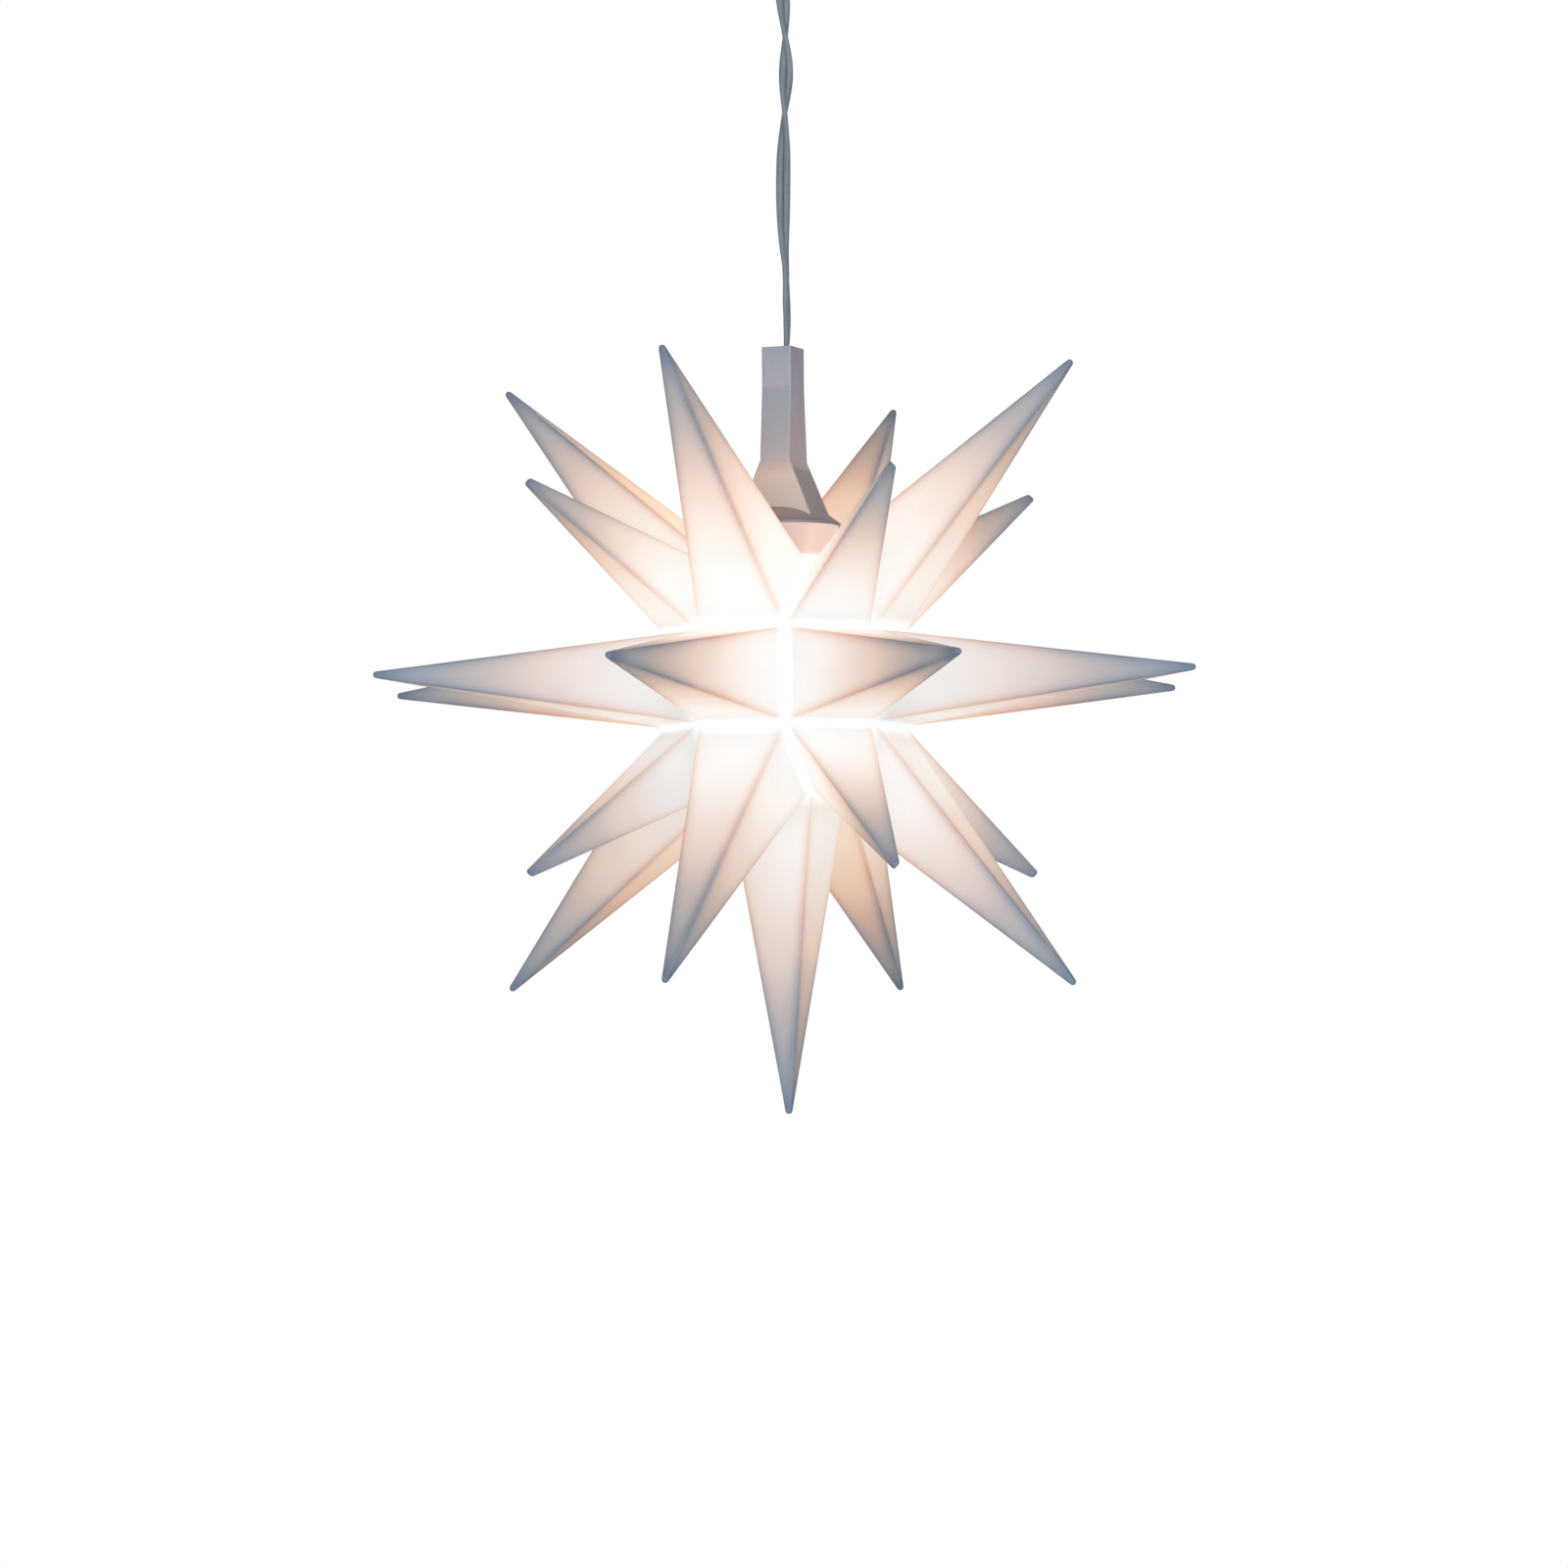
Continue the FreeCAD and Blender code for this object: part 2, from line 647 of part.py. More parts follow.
def lower_edge_chamfer(name, base, depth):
    """Break the edge round the foot of a cylinder."""
    doc.recompute()
    broken = doc.addObject("Part::Chamfer", name)
    broken.Base = base
    lowest = base.Shape.BoundBox.ZMin
    broken.Edges = [(number, depth, depth) for number, edge in enumerate(base.Shape.Edges, start=1)
                    if edge.BoundBox.ZMax < lowest + 0.01]
    return broken


def canopy_cup():
    outside = cylinder("cup_outside", "cup_radius", "cup_depth", below("cup_depth"))
    outside = lower_edge_chamfer("cup_outside_edge", outside, size("cup_chamfer"))
    hollow = cylinder("cup_hollow", "cup_radius - cup_wall", "cup_depth", below("cup_depth - cup_wall"))
    hollow = lower_edge_chamfer("cup_hollow_edge", hollow, size("cup_chamfer") - size("cup_wall") / 2)
    bush_hole = cylinder("cup_bush_hole", "bush_radius + bush_gap", "4 * cup_wall",
                         below("cup_depth + cup_wall"))
    screw_holes = both_ends("cup_screw_holes", "cup_screw_radius + screw_gap", "4 * cup_wall",
                            "cup_radius - 2.5 * cup_wall", below("cup_screw_depth"))
    return piece(cut("canopy_cup", outside, fuse("cup_openings", [hollow, bush_hole, screw_holes])),
                 "canopy_cup")


def cup_screws():
    shank_start = "plate_radius - 3 * ear_thick + 0.5"
    head_start = "cup_radius + cup_screw_seat"
    shanks = both_ends("cup_screw_shanks", "cup_screw_radius", f"{head_start} - ( {shank_start} )",
                       shank_start, below("cup_screw_depth"))
    heads = both_ends("cup_screw_heads", "cup_screw_head", "cup_screw_cap", head_start,
                      below("cup_screw_depth"))
    slots = pair("cup_screw_slots", lambda name, x: box(
        name, "cup_screw_cap", "0.6", "3 * cup_screw_head", below("cup_screw_depth + 1.5 * cup_screw_head"),
        x=x),
        f"{head_start} + cup_screw_cap")
    return piece(cut("cup_screws", fuse("cup_screw_solids", [shanks, heads]), slots), "cup_screws")


def cord_bush():
    """Bush through the cup's floor; its trumpet mouth lets the cord swing without a kink."""
    flange_depth = "( bush_mouth_depth - cup_depth )"
    flange = cone("bush_flange", "bush_mouth_radius + 0.6", "bush_flange_radius", flange_depth,
                  below("bush_mouth_depth"))
    stem = cylinder("bush_stem", "bush_radius", f"cup_depth - {BUSH_TOP}", below("cup_depth"))
    mouth = cone("bush_mouth", "bush_mouth_radius", "bush_throat_radius",
                 "bush_mouth_depth - bush_throat_depth", below("bush_mouth_depth"))
    throat = cylinder("bush_throat", "bush_throat_radius", f"bush_throat_depth - {BUSH_TOP} + 1",
                      below("bush_throat_depth"))
    tap = lying("bush_tap", "grip_radius + screw_gap", "2 * bush_radius", "0", "0", below(GRIP_DEPTH),
                V(0, -1, 0))
    return piece(cut("cord_bush", fuse("bush_solid", [flange, stem]),
                     fuse("bush_openings", [mouth, throat, tap])),
                 "cord_bush")


def bush_nut():
    blank = doc.addObject("Part::Prism", "nut_blank")
    blank.Polygon = 6
    bind(blank, Circumradius=f"nut_flats / 2 * {1 / cos(pi / 6)!r}", Height="nut_height")
    move(blank, z=below("cup_depth - cup_wall"))
    hole = cylinder("nut_hole", "bush_radius + bush_gap", "3 * nut_height",
                    below("cup_depth - cup_wall + nut_height"))
    return piece(cut("bush_nut", blank, hole), "bush_nut")


def cord_end():
    """The cord above the point that it swings about: through the bush, and its two cores to the terminals."""
    foot = below("bush_throat_depth - cord_joint_gap / 2")
    piece(cylinder("cord_end", "cord_radius", f"bush_throat_depth - cord_joint_gap / 2 - {CORD_END}", foot),
          "cord_end")
    cores = []
    for side, sign in (("left", "-1"), ("right", "1")):
        points = [
            (f"{sign} * core_radius", "0", below(f"{CORD_END} - 0.4")),
            (f"{sign} * block_pitch / 2", "0", below("plate_thick + block_height + 1")),
            (f"{sign} * block_pitch / 2", "0", below("plate_thick + 3")),
        ]
        cores.append(bent_wire(f"end_core_{side}", "core_radius * 0.95", points))
    piece(fuse("cord_end_cores", cores), "cord_end_cores")


def grip_screw():
    start = "0 - cord_radius - 0.05"
    screw = lying("grip_blank", "grip_radius", "bush_radius - cord_radius + 0.4", "0", start,
                  below(GRIP_DEPTH), V(0, -1, 0))
    slot = box("grip_slot", "3 * grip_radius", "1.2", "0.5", below(f"{GRIP_DEPTH} + 0.25"),
               y="0 - bush_radius - 0.4")
    return piece(cut("grip_screw", screw, slot), "grip_screw")


def terminal_block():
    top = "plate_thick"
    blank = box("block_blank", "block_length", "block_width", "block_height", below(f"{top} + block_height"))
    wells = pair("block_wells", lambda name, x: cylinder(
        name, "block_bore_radius", "block_height", below(f"{top} + block_height + 1"), x=x),
        "block_pitch / 2")
    screw_wells = fuse("block_screw_wells", [
        lying(f"block_screw_well_{side}", "block_screw_radius + screw_gap", "block_width",
              f"{sign} * block_pitch / 2", "0 - core_radius - 0.1", below("block_screw_depth"), V(0, -1, 0))
        for side, sign in (("left", "-1"), ("right", "1"))])
    piece(cut("terminal_block", blank, fuse("block_openings", [wells, screw_wells])), "terminal_block")
    insert_foot = below(f"{top} + block_height - 0.5")
    insert_height = "block_height - 1.5"
    sleeves = pair("insert_sleeves", lambda name, x: cylinder(
        name, "block_bore_radius - screw_gap / 2", insert_height, insert_foot, x=x), "block_pitch / 2")
    bores = pair("insert_bores", lambda name, x: cylinder(
        name, "block_bore_radius - insert_wall", "2 * block_height", below("2 * block_height"), x=x),
        "block_pitch / 2")
    taps = fuse("insert_taps", [
        lying(f"insert_tap_{side}", "block_screw_radius + screw_gap", "block_width",
              f"{sign} * block_pitch / 2", "0", below("block_screw_depth"), V(0, -1, 0))
        for side, sign in (("left", "-1"), ("right", "1"))])
    piece(cut("terminal_inserts", sleeves, fuse("insert_openings", [bores, taps])), "terminal_inserts")
    screws = fuse("terminal_screw_blanks", [
        lying(f"terminal_screw_{side}", "block_screw_radius", "block_width / 2 - core_radius - 0.3",
              f"{sign} * block_pitch / 2", "0 - core_radius - 0.1", below("block_screw_depth"), V(0, -1, 0))
        for side, sign in (("left", "-1"), ("right", "1"))])
    slot = box("terminal_screw_slot", "3 * block_pitch", "1", "0.5", below("block_screw_depth + 0.25"),
               y="0 - block_width / 2 + 0.3")
    piece(cut("terminal_screws", screws, slot), "terminal_screws")


ceiling_plate()
canopy_cup()
cup_screws()
cord_bush()
bush_nut()
cord_end()
grip_screw()
terminal_block()


# ------------------------------------------------------------------------------------------------------------
# Check and write
# ------------------------------------------------------------------------------------------------------------
doc.recompute()
for feature in doc.Objects:
    if "Invalid" in feature.State or "Error" in feature.State:
        raise RuntimeError(f"{feature.Label} failed: {feature.State}")
os.makedirs("parts", exist_ok=True)
for feature in pieces:
    shape = feature.Shape
    if shape.isNull() or not shape.isValid() or not shape.Solids:
        raise RuntimeError(f"{feature.Label} has no valid solid")
    shape.exportStep(f"parts/{feature.Label}.step")
print(f"{len(pieces)} sub-parts written")
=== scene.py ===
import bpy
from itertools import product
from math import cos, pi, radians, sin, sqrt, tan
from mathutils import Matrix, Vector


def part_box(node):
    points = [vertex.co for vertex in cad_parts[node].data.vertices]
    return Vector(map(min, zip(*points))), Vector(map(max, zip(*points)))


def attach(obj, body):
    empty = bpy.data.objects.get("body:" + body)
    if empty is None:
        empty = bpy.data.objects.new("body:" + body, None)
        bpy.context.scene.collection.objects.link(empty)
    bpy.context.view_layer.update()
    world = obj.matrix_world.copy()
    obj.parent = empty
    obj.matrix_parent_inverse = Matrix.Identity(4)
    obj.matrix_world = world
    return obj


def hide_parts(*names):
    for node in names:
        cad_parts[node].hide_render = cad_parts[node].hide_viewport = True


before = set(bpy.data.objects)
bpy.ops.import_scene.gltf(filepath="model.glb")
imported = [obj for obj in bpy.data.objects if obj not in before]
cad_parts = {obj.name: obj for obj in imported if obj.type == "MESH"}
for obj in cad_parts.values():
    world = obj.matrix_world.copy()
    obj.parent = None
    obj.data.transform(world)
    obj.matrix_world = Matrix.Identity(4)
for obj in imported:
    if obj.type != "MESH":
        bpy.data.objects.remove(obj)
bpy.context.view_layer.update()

# %% [markdown]
# # A moulded star pendant, lit from inside
#
# The object is a small star lamp.  Seventeen four-sided and eight three-sided hollow points stand on the
# faces of a 26-sided core, a slim lampholder drops into the star's top opening, and the whole hangs on a
# twisted pair cord from a small ceiling cup.  The CAD model is loaded above and never changes.  This lesson
# gives it its looks: every star point is modelled again with round ridges and blunt tips, the cord gets its
# two strands, and each piece gets a material that starts from what it is really made of.
#
# Blender works in metres.  The star's sizes are easier to read in millimetres, so one value turns them over.

MM = 0.001
PER_METRE = 1000                                            # millimetres
STAR = Vector((0, 0, -130 * MM))
VIEW_TURN = radians(22.67)                                  # the star is seen turned by this much
RIGHT = Vector((cos(VIEW_TURN), sin(VIEW_TURN), 0))         # the picture's right, level
AWAY = Vector((-sin(VIEW_TURN), cos(VIEW_TURN), 0))         # away from the camera, level

# %% [markdown]
# ## Camera
#
# The camera was worked out from the star itself: the tips of all the points that the picture shows are known
# places, so one set of camera values puts every tip where the picture has it.  It stands about 0.9 m away, a
# little below the star, and looks up by about 3 degrees through a long lens.

# %% Camera
CAMERA_PLACE = (0.34319, -0.82353, -0.19042)                # metres
CAMERA_TURN = (92.885, 0.464, 22.669)                       # degrees about X, Y and Z
LENS = 136.35                                               # millimetres
SENSOR_WIDTH = 36                                           # millimetres
NEAREST_SEEN = 0.01                                         # metres
bpy.ops.object.camera_add(location=CAMERA_PLACE, rotation=[radians(turn) for turn in CAMERA_TURN])
camera = bpy.context.object
camera.data.lens = LENS
camera.data.sensor_width = SENSOR_WIDTH
camera.data.clip_start = NEAREST_SEEN
bpy.context.scene.camera = camera
print("camera to star, metres:", round((camera.location - STAR).length, 3))

# %% [markdown]
# ## Two helpers for every material
#
# Colours are written as sRGB hex, as a paint chart gives them, and nodes want linear values, so one function
# turns them over.  A node tree is a list of nodes and the links between them: the second function adds one
# node, sets its properties and inputs by name, and links other nodes' outputs to it.

# %% Colours and nodes
def linear(hex_text):
    """Turn an sRGB hex colour such as C8A07F into the linear values that nodes use."""
    levels = [int(hex_text[i:i + 2], 16) / 255 for i in (0, 2, 4)]
    return tuple(v / 12.92 if v <= 0.04045 else ((v + 0.055) / 1.055) ** 2.4 for v in levels) + (1.0,)


def add_node(tree, kind, links=None, stops=(), **settings):
    """Add a node, set its properties and inputs, fill its colour stops, and link outputs to its inputs.

    A link may also be a plain number, for an input that is known by its place and not by its name.
    """
    made = tree.nodes.new(kind)
    for key, value in settings.items():
        if key in made.inputs:
            made.inputs[key].default_value = value
        else:
            setattr(made, key, value)
    while stops and len(made.color_ramp.elements) < len(stops):
        made.color_ramp.elements.new(0.5)
    for number, (position, colour) in enumerate(stops):
        made.color_ramp.elements[number].position = position
        made.color_ramp.elements[number].color = linear(colour) if isinstance(colour, str) else (*colour, 1.0)
    for socket, source in (links or {}).items():
        if isinstance(source, (int, float)):
            made.inputs[socket].default_value = source
        else:
            tree.links.new(source, made.inputs[socket])
    return made


print("white in linear:", linear("FFFFFF"))

# %% [markdown]
# ## White room
#
# The picture is a plain white studio shot.  A material can ask the Light Path node what kind of ray meets it:
# rays from the camera, from gloss and through glass see plain white, while the rays that gather light see a
# soft grey.  That gives a white background without flooding the object with light.

# %% World
AMBIENT = 0.09      # how bright the white room is for the rays that gather light
world = bpy.data.worlds.new("white_studio")
bpy.context.scene.world = world
world.use_nodes = True
room = world.node_tree
room.nodes.clear()
ray = add_node(room, "ShaderNodeLightPath")
seen = add_node(room, "ShaderNodeMath", {0: ray.outputs["Is Camera Ray"], 1: ray.outputs["Is Glossy Ray"]},
                operation="MAXIMUM")
seen = add_node(room, "ShaderNodeMath", {0: seen.outputs[0], 1: ray.outputs["Is Transmission Ray"]},
                operation="MAXIMUM")
level = add_node(room, "ShaderNodeMapRange", {"Value": seen.outputs[0], "To Min": AMBIENT, "To Max": 1.0})
air = add_node(room, "ShaderNodeBackground", {"Strength": level.outputs[0]}, Color=(1, 1, 1, 1))
add_node(room, "ShaderNodeOutputWorld", {"Surface": air.outputs[0]})
print("world nodes:", len(room.nodes))

# %% [markdown]
# ## Floor
#
# The lamp hangs high over a white floor.  The floor is a painted disc that keeps the object's shadow.  It is
# a sheet with no thickness, and a view from below would end at it, so the Geometry node's Backfacing output
# makes its underside clear.  An operator acts on all that is selected, and the CAD nodes come in selected, so
# everything is deselected before a piece is added.

# %% Floor
FLOOR_RADIUS = 0.92             # metres
FLOOR_HEIGHT = -0.46            # metres
FLOOR_LIFT = 0.5                # of white, added for the camera alone


def deselect_all():
    """Leave edit mode and select nothing."""
    if bpy.context.object and bpy.context.object.mode != "OBJECT":
        bpy.ops.object.mode_set(mode="OBJECT")
    bpy.ops.object.select_all(action="DESELECT")


deselect_all()
bpy.ops.mesh.primitive_circle_add(vertices=96, radius=FLOOR_RADIUS, fill_type="NGON",
                                  location=(0, 0, FLOOR_HEIGHT))
floor = bpy.context.object
floor.name = "studio_floor"
floor_paint = bpy.data.materials.new("floor_matt_white_paint")
floor_paint.use_nodes = True
floor.data.materials.append(floor_paint)
paint = floor_paint.node_tree
white = paint.nodes["Principled BSDF"]
white.inputs["Base Color"].default_value = linear("F4F4F4")
white.inputs["Roughness"].default_value = 0.9
white.inputs["Emission Color"].default_value = (1, 1, 1, 1)
ray = add_node(paint, "ShaderNodeLightPath")
lift = add_node(paint, "ShaderNodeMath", {0: ray.outputs["Is Camera Ray"], 1: FLOOR_LIFT},
                operation="MULTIPLY")
paint.links.new(lift.outputs[0], white.inputs["Emission Strength"])
side = add_node(paint, "ShaderNodeNewGeometry")
clear = add_node(paint, "ShaderNodeBsdfTransparent")
one_sided = add_node(paint, "ShaderNodeMixShader", {0: side.outputs["Backfacing"], 1: white.outputs[0],
                                                    2: clear.outputs[0]})
paint.links.new(one_sided.outputs[0], paint.nodes["Material Output"].inputs["Surface"])
print("floor below the star, metres:", round(STAR.z - floor.location.z, 2))

# %% [markdown]
# ## Lamps
#
# Two large round soft boxes light the plastic.  The one on the camera's side makes the faces that look at us
# cooler and brighter than those that look down or away.  The one behind keeps the back from falling dark.
# The Standard view transform then shows each colour as it is written.

# %% Lamps
LAMP_RISE = 0.12                # height over the star for each metre away from it
LAMP_TILT = radians(83)         # from looking straight down, so that the lamp looks at the star


def soft_box(name, turn, away, size, watts):
    """Round soft lamp at a turn from the camera's side, a little above the star; away and size in metres."""
    around = VIEW_TURN + turn
    spot = STAR + Vector((away * sin(around), -away * cos(around), away * LAMP_RISE))
    bpy.ops.object.light_add(type="AREA", location=spot, rotation=(LAMP_TILT, 0, around))
    lamp = bpy.context.object
    lamp.name = name
    lamp.data.shape = "DISK"
    lamp.data.size = size
    lamp.data.energy = watts
    return lamp


front_lamp = soft_box("front_soft_box", turn=radians(1), away=0.95, size=0.75, watts=8.8)
soft_box("rear_soft_box", turn=pi, away=1.4, size=1.2, watts=11.0)
bpy.context.scene.view_settings.view_transform = "Standard"
print("front lamp to star, metres:", round((front_lamp.location - STAR).length, 2))

# %% [markdown]
# ## Star points
#
# Each real point is a thin moulded shell: a sharp pyramid with softly rounded ridges, a blunt solid tip, a
# small flat land round its foot and a mitred rim that meets its neighbours'.  It could be lofted or carved
# out of a block with booleans.  Here it is modelled once for each kind, as by hand: a cone with four or three
# sides makes the rim, its top face is drawn in for the land and up to the tip, the ridges are bevelled, and
# the hollow is pushed in from below.

# %% Sizes of the core and its points, in millimetres
CORE_EDGE = 14.07
RIM_DEPTH = 1.6                 # depth of the mitred rim where neighbours meet
RIM_LAND = 0.12                 # flat land round the foot of each point
WALL = 0.8
TIP_HALF = 0.5                  # half width of the blunt tip
TIP_ROUND = 0.45                # length of the rounded end
TIP_STEPS = [(0.65, 0.8), (0.35, 0.5)]      # each step's share of that length, and how far it draws in
INNER_TIP_HALF = 0.15           # half width of the hollow's end, above which the tip is solid
RIDGE_RADIUS = 0.4
RIDGE_SEGMENTS = 4
FAR = (1 + sqrt(2)) / 2         # from the core's middle to a square face, for an edge of 1
# Reach of the tip and distance of the foot from the core's middle, half width of the foot, and how far along
# the scale of the glow the tip lies.
KINDS = {
    "four": {"sides": 4, "reach": 65.0, "face": CORE_EDGE * FAR, "half": CORE_EDGE / 2, "glow_end": 1.0},
    "three": {"sides": 3, "reach": 50.2, "face": CORE_EDGE * (3 + sqrt(2)) / (2 * sqrt(3)),
              "half": CORE_EDGE / (2 * sqrt(3)), "glow_end": 0.97},
}
print("face distances:", {name: round(kind["face"], 2) for name, kind in KINDS.items()})


# %% Small helpers for modelling
def select_nothing(mesh):
    """Deselect every vertex, edge and face of a mesh."""
    for part in (*mesh.vertices, *mesh.edges, *mesh.polygons):
        part.select = False


def select_faces(obj, test):
    """In edit mode, select only the faces that pass the test."""
    bpy.ops.object.mode_set(mode="OBJECT")
    select_nothing(obj.data)
    for face in obj.data.polygons:
        face.select = bool(test(face))
    bpy.ops.object.mode_set(mode="EDIT")


def select_edges(obj, test):
    """In edit mode, select only the edges that pass the test of their two ends."""
    bpy.ops.object.mode_set(mode="OBJECT")
    mesh = obj.data
    select_nothing(mesh)
    for edge in mesh.edges:
        edge.select = bool(test(*(mesh.vertices[number].co for number in edge.vertices)))
    bpy.ops.object.mode_set(mode="EDIT")


def grow(lift, factor):
    """Extrude what is selected, lift it and scale it about the axis."""
    bpy.ops.mesh.extrude_region_move(TRANSFORM_OT_translate={"value": (0, 0, lift)})
    bpy.ops.transform.resize(value=(factor, factor, 1), center_override=(0, 0, 0))


print("sides of each kind:", [kind["sides"] for kind in KINDS.values()])


# %% Draw one point up from its rim, standing on +Z round the star's centre
LEVEL = 0.99                    # a normal with this much of Z, or more, belongs to a level face
NEAR = 0.01                     # millimetres
LONG = 20                       # millimetres of height that only a ridge has


def draw_point(name, kind):
    """Rim, land, sharp pyramid, bevelled ridges and a blunt tip."""
    sides, face, half = kind["sides"], kind["face"], kind["half"]
    top = kind["reach"] - TIP_ROUND
    corner = 1 / cos(pi / sides)               # corner radius for each millimetre of half width
    inward = 1 - RIM_DEPTH / (CORE_EDGE * FAR)
    foot = half - RIM_LAND
    deselect_all()
    bpy.ops.mesh.primitive_cone_add(vertices=sides, depth=face * (1 - inward) * MM,
                                    radius1=half * inward * corner * MM, radius2=half * corner * MM,
                                    location=(0, 0, face * (1 + inward) / 2 * MM))
    point = bpy.context.object
    point.name = name
    bpy.ops.object.transform_apply(location=True, rotation=True, scale=True)
    bpy.ops.object.mode_set(mode="EDIT")
    bpy.ops.mesh.select_mode(type="FACE")
    select_faces(point, lambda f: f.normal.z > LEVEL)
    grow(0, foot / half)
    grow((top - face) * MM, TIP_HALF / foot)
    bpy.ops.mesh.select_mode(type="EDGE")
    select_edges(point, lambda a, b: abs(a.z - b.z) > LONG * MM)
    bpy.ops.mesh.bevel(offset=RIDGE_RADIUS * MM, offset_type="OFFSET", segments=RIDGE_SEGMENTS,
                       affect="EDGES", clamp_overlap=False)
    bpy.ops.mesh.select_mode(type="FACE")
    select_faces(point, lambda f: f.normal.z > LEVEL and f.center.z > (top - NEAR) * MM)
    for share, factor in TIP_STEPS:
        grow(TIP_ROUND * share * MM, factor)
    return point

# %% [markdown]
# ## Hollow and guide edges
#
# The hollow starts as wide as the inner foot and is a second pyramid that ends where the tip is solid.  Cuts
# down the middle of each face then give the mesh an edge there.  That lets two plain numbers per vertex
# describe where a spot is: how high up the point, and how far from the nearest ridge.  The material reads
# those two numbers.

# %% Hollow the point and mark its places
def face_turns(sides):
    """Directions in which a point's faces look, as turns about its axis."""
    return [pi / 2 + pi / sides + number * 2 * pi / sides for number in range(sides)]


def hollow_point(point, kind):
    """Push the hollow in from below, then cut an edge down the middle of every face."""
    sides, face, half = kind["sides"], kind["face"], kind["half"]
    inward = 1 - RIM_DEPTH / (CORE_EDGE * FAR)
    foot = half - RIM_LAND
    inner = foot - WALL
    slant = (foot - TIP_HALF) / (kind["reach"] - TIP_ROUND - face)
    select_faces(point, lambda f: f.normal.z < -LEVEL)
    grow(0, inner / (half * inward))
    grow(face * (1 - inward) * MM, 1)
    grow((inner - INNER_TIP_HALF) / slant * MM, INNER_TIP_HALF / inner)
    for across in face_turns(sides):
        bpy.ops.mesh.select_all(action="SELECT")
        bpy.ops.mesh.bisect(plane_co=(0, 0, 0), plane_no=(-sin(across), cos(across), 0))
    bpy.ops.object.mode_set(mode="OBJECT")


def mark_place(mesh, kind):
    """Store two numbers per vertex: its share of the way to the tip, and its distance to a ridge in mm."""
    sides, face, half, reach = kind["sides"], kind["face"], kind["half"], kind["reach"]
    foot = half - RIM_LAND
    slant = (foot - TIP_HALF) / (reach - TIP_ROUND - face)
    along = mesh.attributes.new("along", "FLOAT", "POINT")
    ridge = mesh.attributes.new("ridge_mm", "FLOAT", "POINT")
    for v in mesh.vertices:
        x, y, z = v.co / MM
        width = max(foot - (z - face) * slant, 0.0)     # half width of the point at this height
        edge_half = width * tan(pi / sides)             # from the middle of a face to its ridge
        spread = []                                     # for each face: how far out, how far off its middle
        for turn in face_turns(sides):
            spread.append((x * cos(turn) + y * sin(turn), abs(-x * sin(turn) + y * cos(turn))))
        off_middle = max(spread)[1]
        share = min(max((z - face) / (reach - face), 0.0), 1.0)
        along.data[v.index].value = share * kind["glow_end"]
        ridge.data[v.index].value = max(edge_half - off_middle, 0.0)


masters = {}
for kind_name, kind in KINDS.items():
    masters[kind_name] = draw_point(f"{kind_name}_point_master", kind)
    hollow_point(masters[kind_name], kind)
    mark_place(masters[kind_name].data, kind)
    print(kind_name, "faces:", len(masters[kind_name].data.polygons))

# %% [markdown]
# ## Material of the star: translucent polypropylene
#
# The shell is milky plastic.  Light from the lamp inside soaks through it, white near the core and warmer and
# weaker towards the tips, because the hollow narrows and the light has farther to go.  The ridges are twice
# as thick as the faces, so a soft darker line runs along each of them, and the tip itself is solid and stays
# cool grey.  Real light scattering in so thin a shell is slow to render, so the light that comes through is
# given as emission on the Principled shader, driven by the two numbers that the mesh carries.  The base
# colour is what the plastic shows by the room's light alone.

# %% How much light comes through, from the foot of a point to its tip
# Both tables are fitted to the picture: scripts read the colours of picture and render at the same heights on
# many faces, each stop was moved by the difference that they gave, and the values were rounded afterwards.
GLOW = [                    # in the middle of a face, as linear red, green and blue
    (0.00, (1, 1, 1)), (0.01, (0.93, 0.90, 0.87)), (0.025, (0.86, 0.79, 0.71)),
    (0.05, (0.79, 0.68, 0.57)), (0.12, (0.83, 0.71, 0.61)), (0.20, (0.83, 0.70, 0.59)),
    (0.30, (0.81, 0.64, 0.52)), (0.40, (0.77, 0.56, 0.41)), (0.50, (0.70, 0.47, 0.32)),
    (0.60, (0.57, 0.36, 0.23)), (0.70, (0.43, 0.27, 0.17)), (0.80, (0.31, 0.21, 0.14)),
    (0.88, (0.22, 0.15, 0.10)), (0.94, (0.11, 0.06, 0.05)), (0.97, (0.05, 0.02, 0.01)),
    (1.00, (0.04, 0.01, 0.00)),
]
RIDGE_GLOW = [              # what of that light is left on a ridge
    (0.00, (0.99, 0.93, 0.88)), (0.04, (0.96, 0.80, 0.68)), (0.10, (0.93, 0.65, 0.45)),
    (0.20, (0.88, 0.53, 0.31)), (0.30, (0.76, 0.46, 0.14)), (0.40, (0.66, 0.27, 0.08)),
    (0.50, (0.52, 0.27, 0.16)), (0.60, (0.19, 0.14, 0.11)), (0.70, (0.14, 0.09, 0.07)),
    (0.80, (0.12, 0.06, 0.05)), (0.90, (0.60, 0.50, 0.50)), (0.96, (0.90, 0.90, 0.90)),
]
RIDGE_FADE = 0.6            # the darker line fades over this many millimetres
print("glow stops:", len(GLOW), "on a face,", len(RIDGE_GLOW), "on a ridge")


# %% Helpers that every finish shares
NOISE_LOW, NOISE_HIGH = 0.3, 0.7            # nearly all of a noise texture lies between these


def plastic(name, colour, roughness, specular=0.35, ior=1.49):
    """A Principled material with a named colour; the caller adds what makes it that plastic."""
    made = bpy.data.materials.new(name)
    made.use_nodes = True
    shader = made.node_tree.nodes["Principled BSDF"]
    shader.inputs["Base Color"].default_value = linear(colour)
    shader.inputs["Roughness"].default_value = roughness
    shader.inputs["Specular IOR Level"].default_value = specular
    shader.inputs["IOR"].default_value = ior
    return made, shader


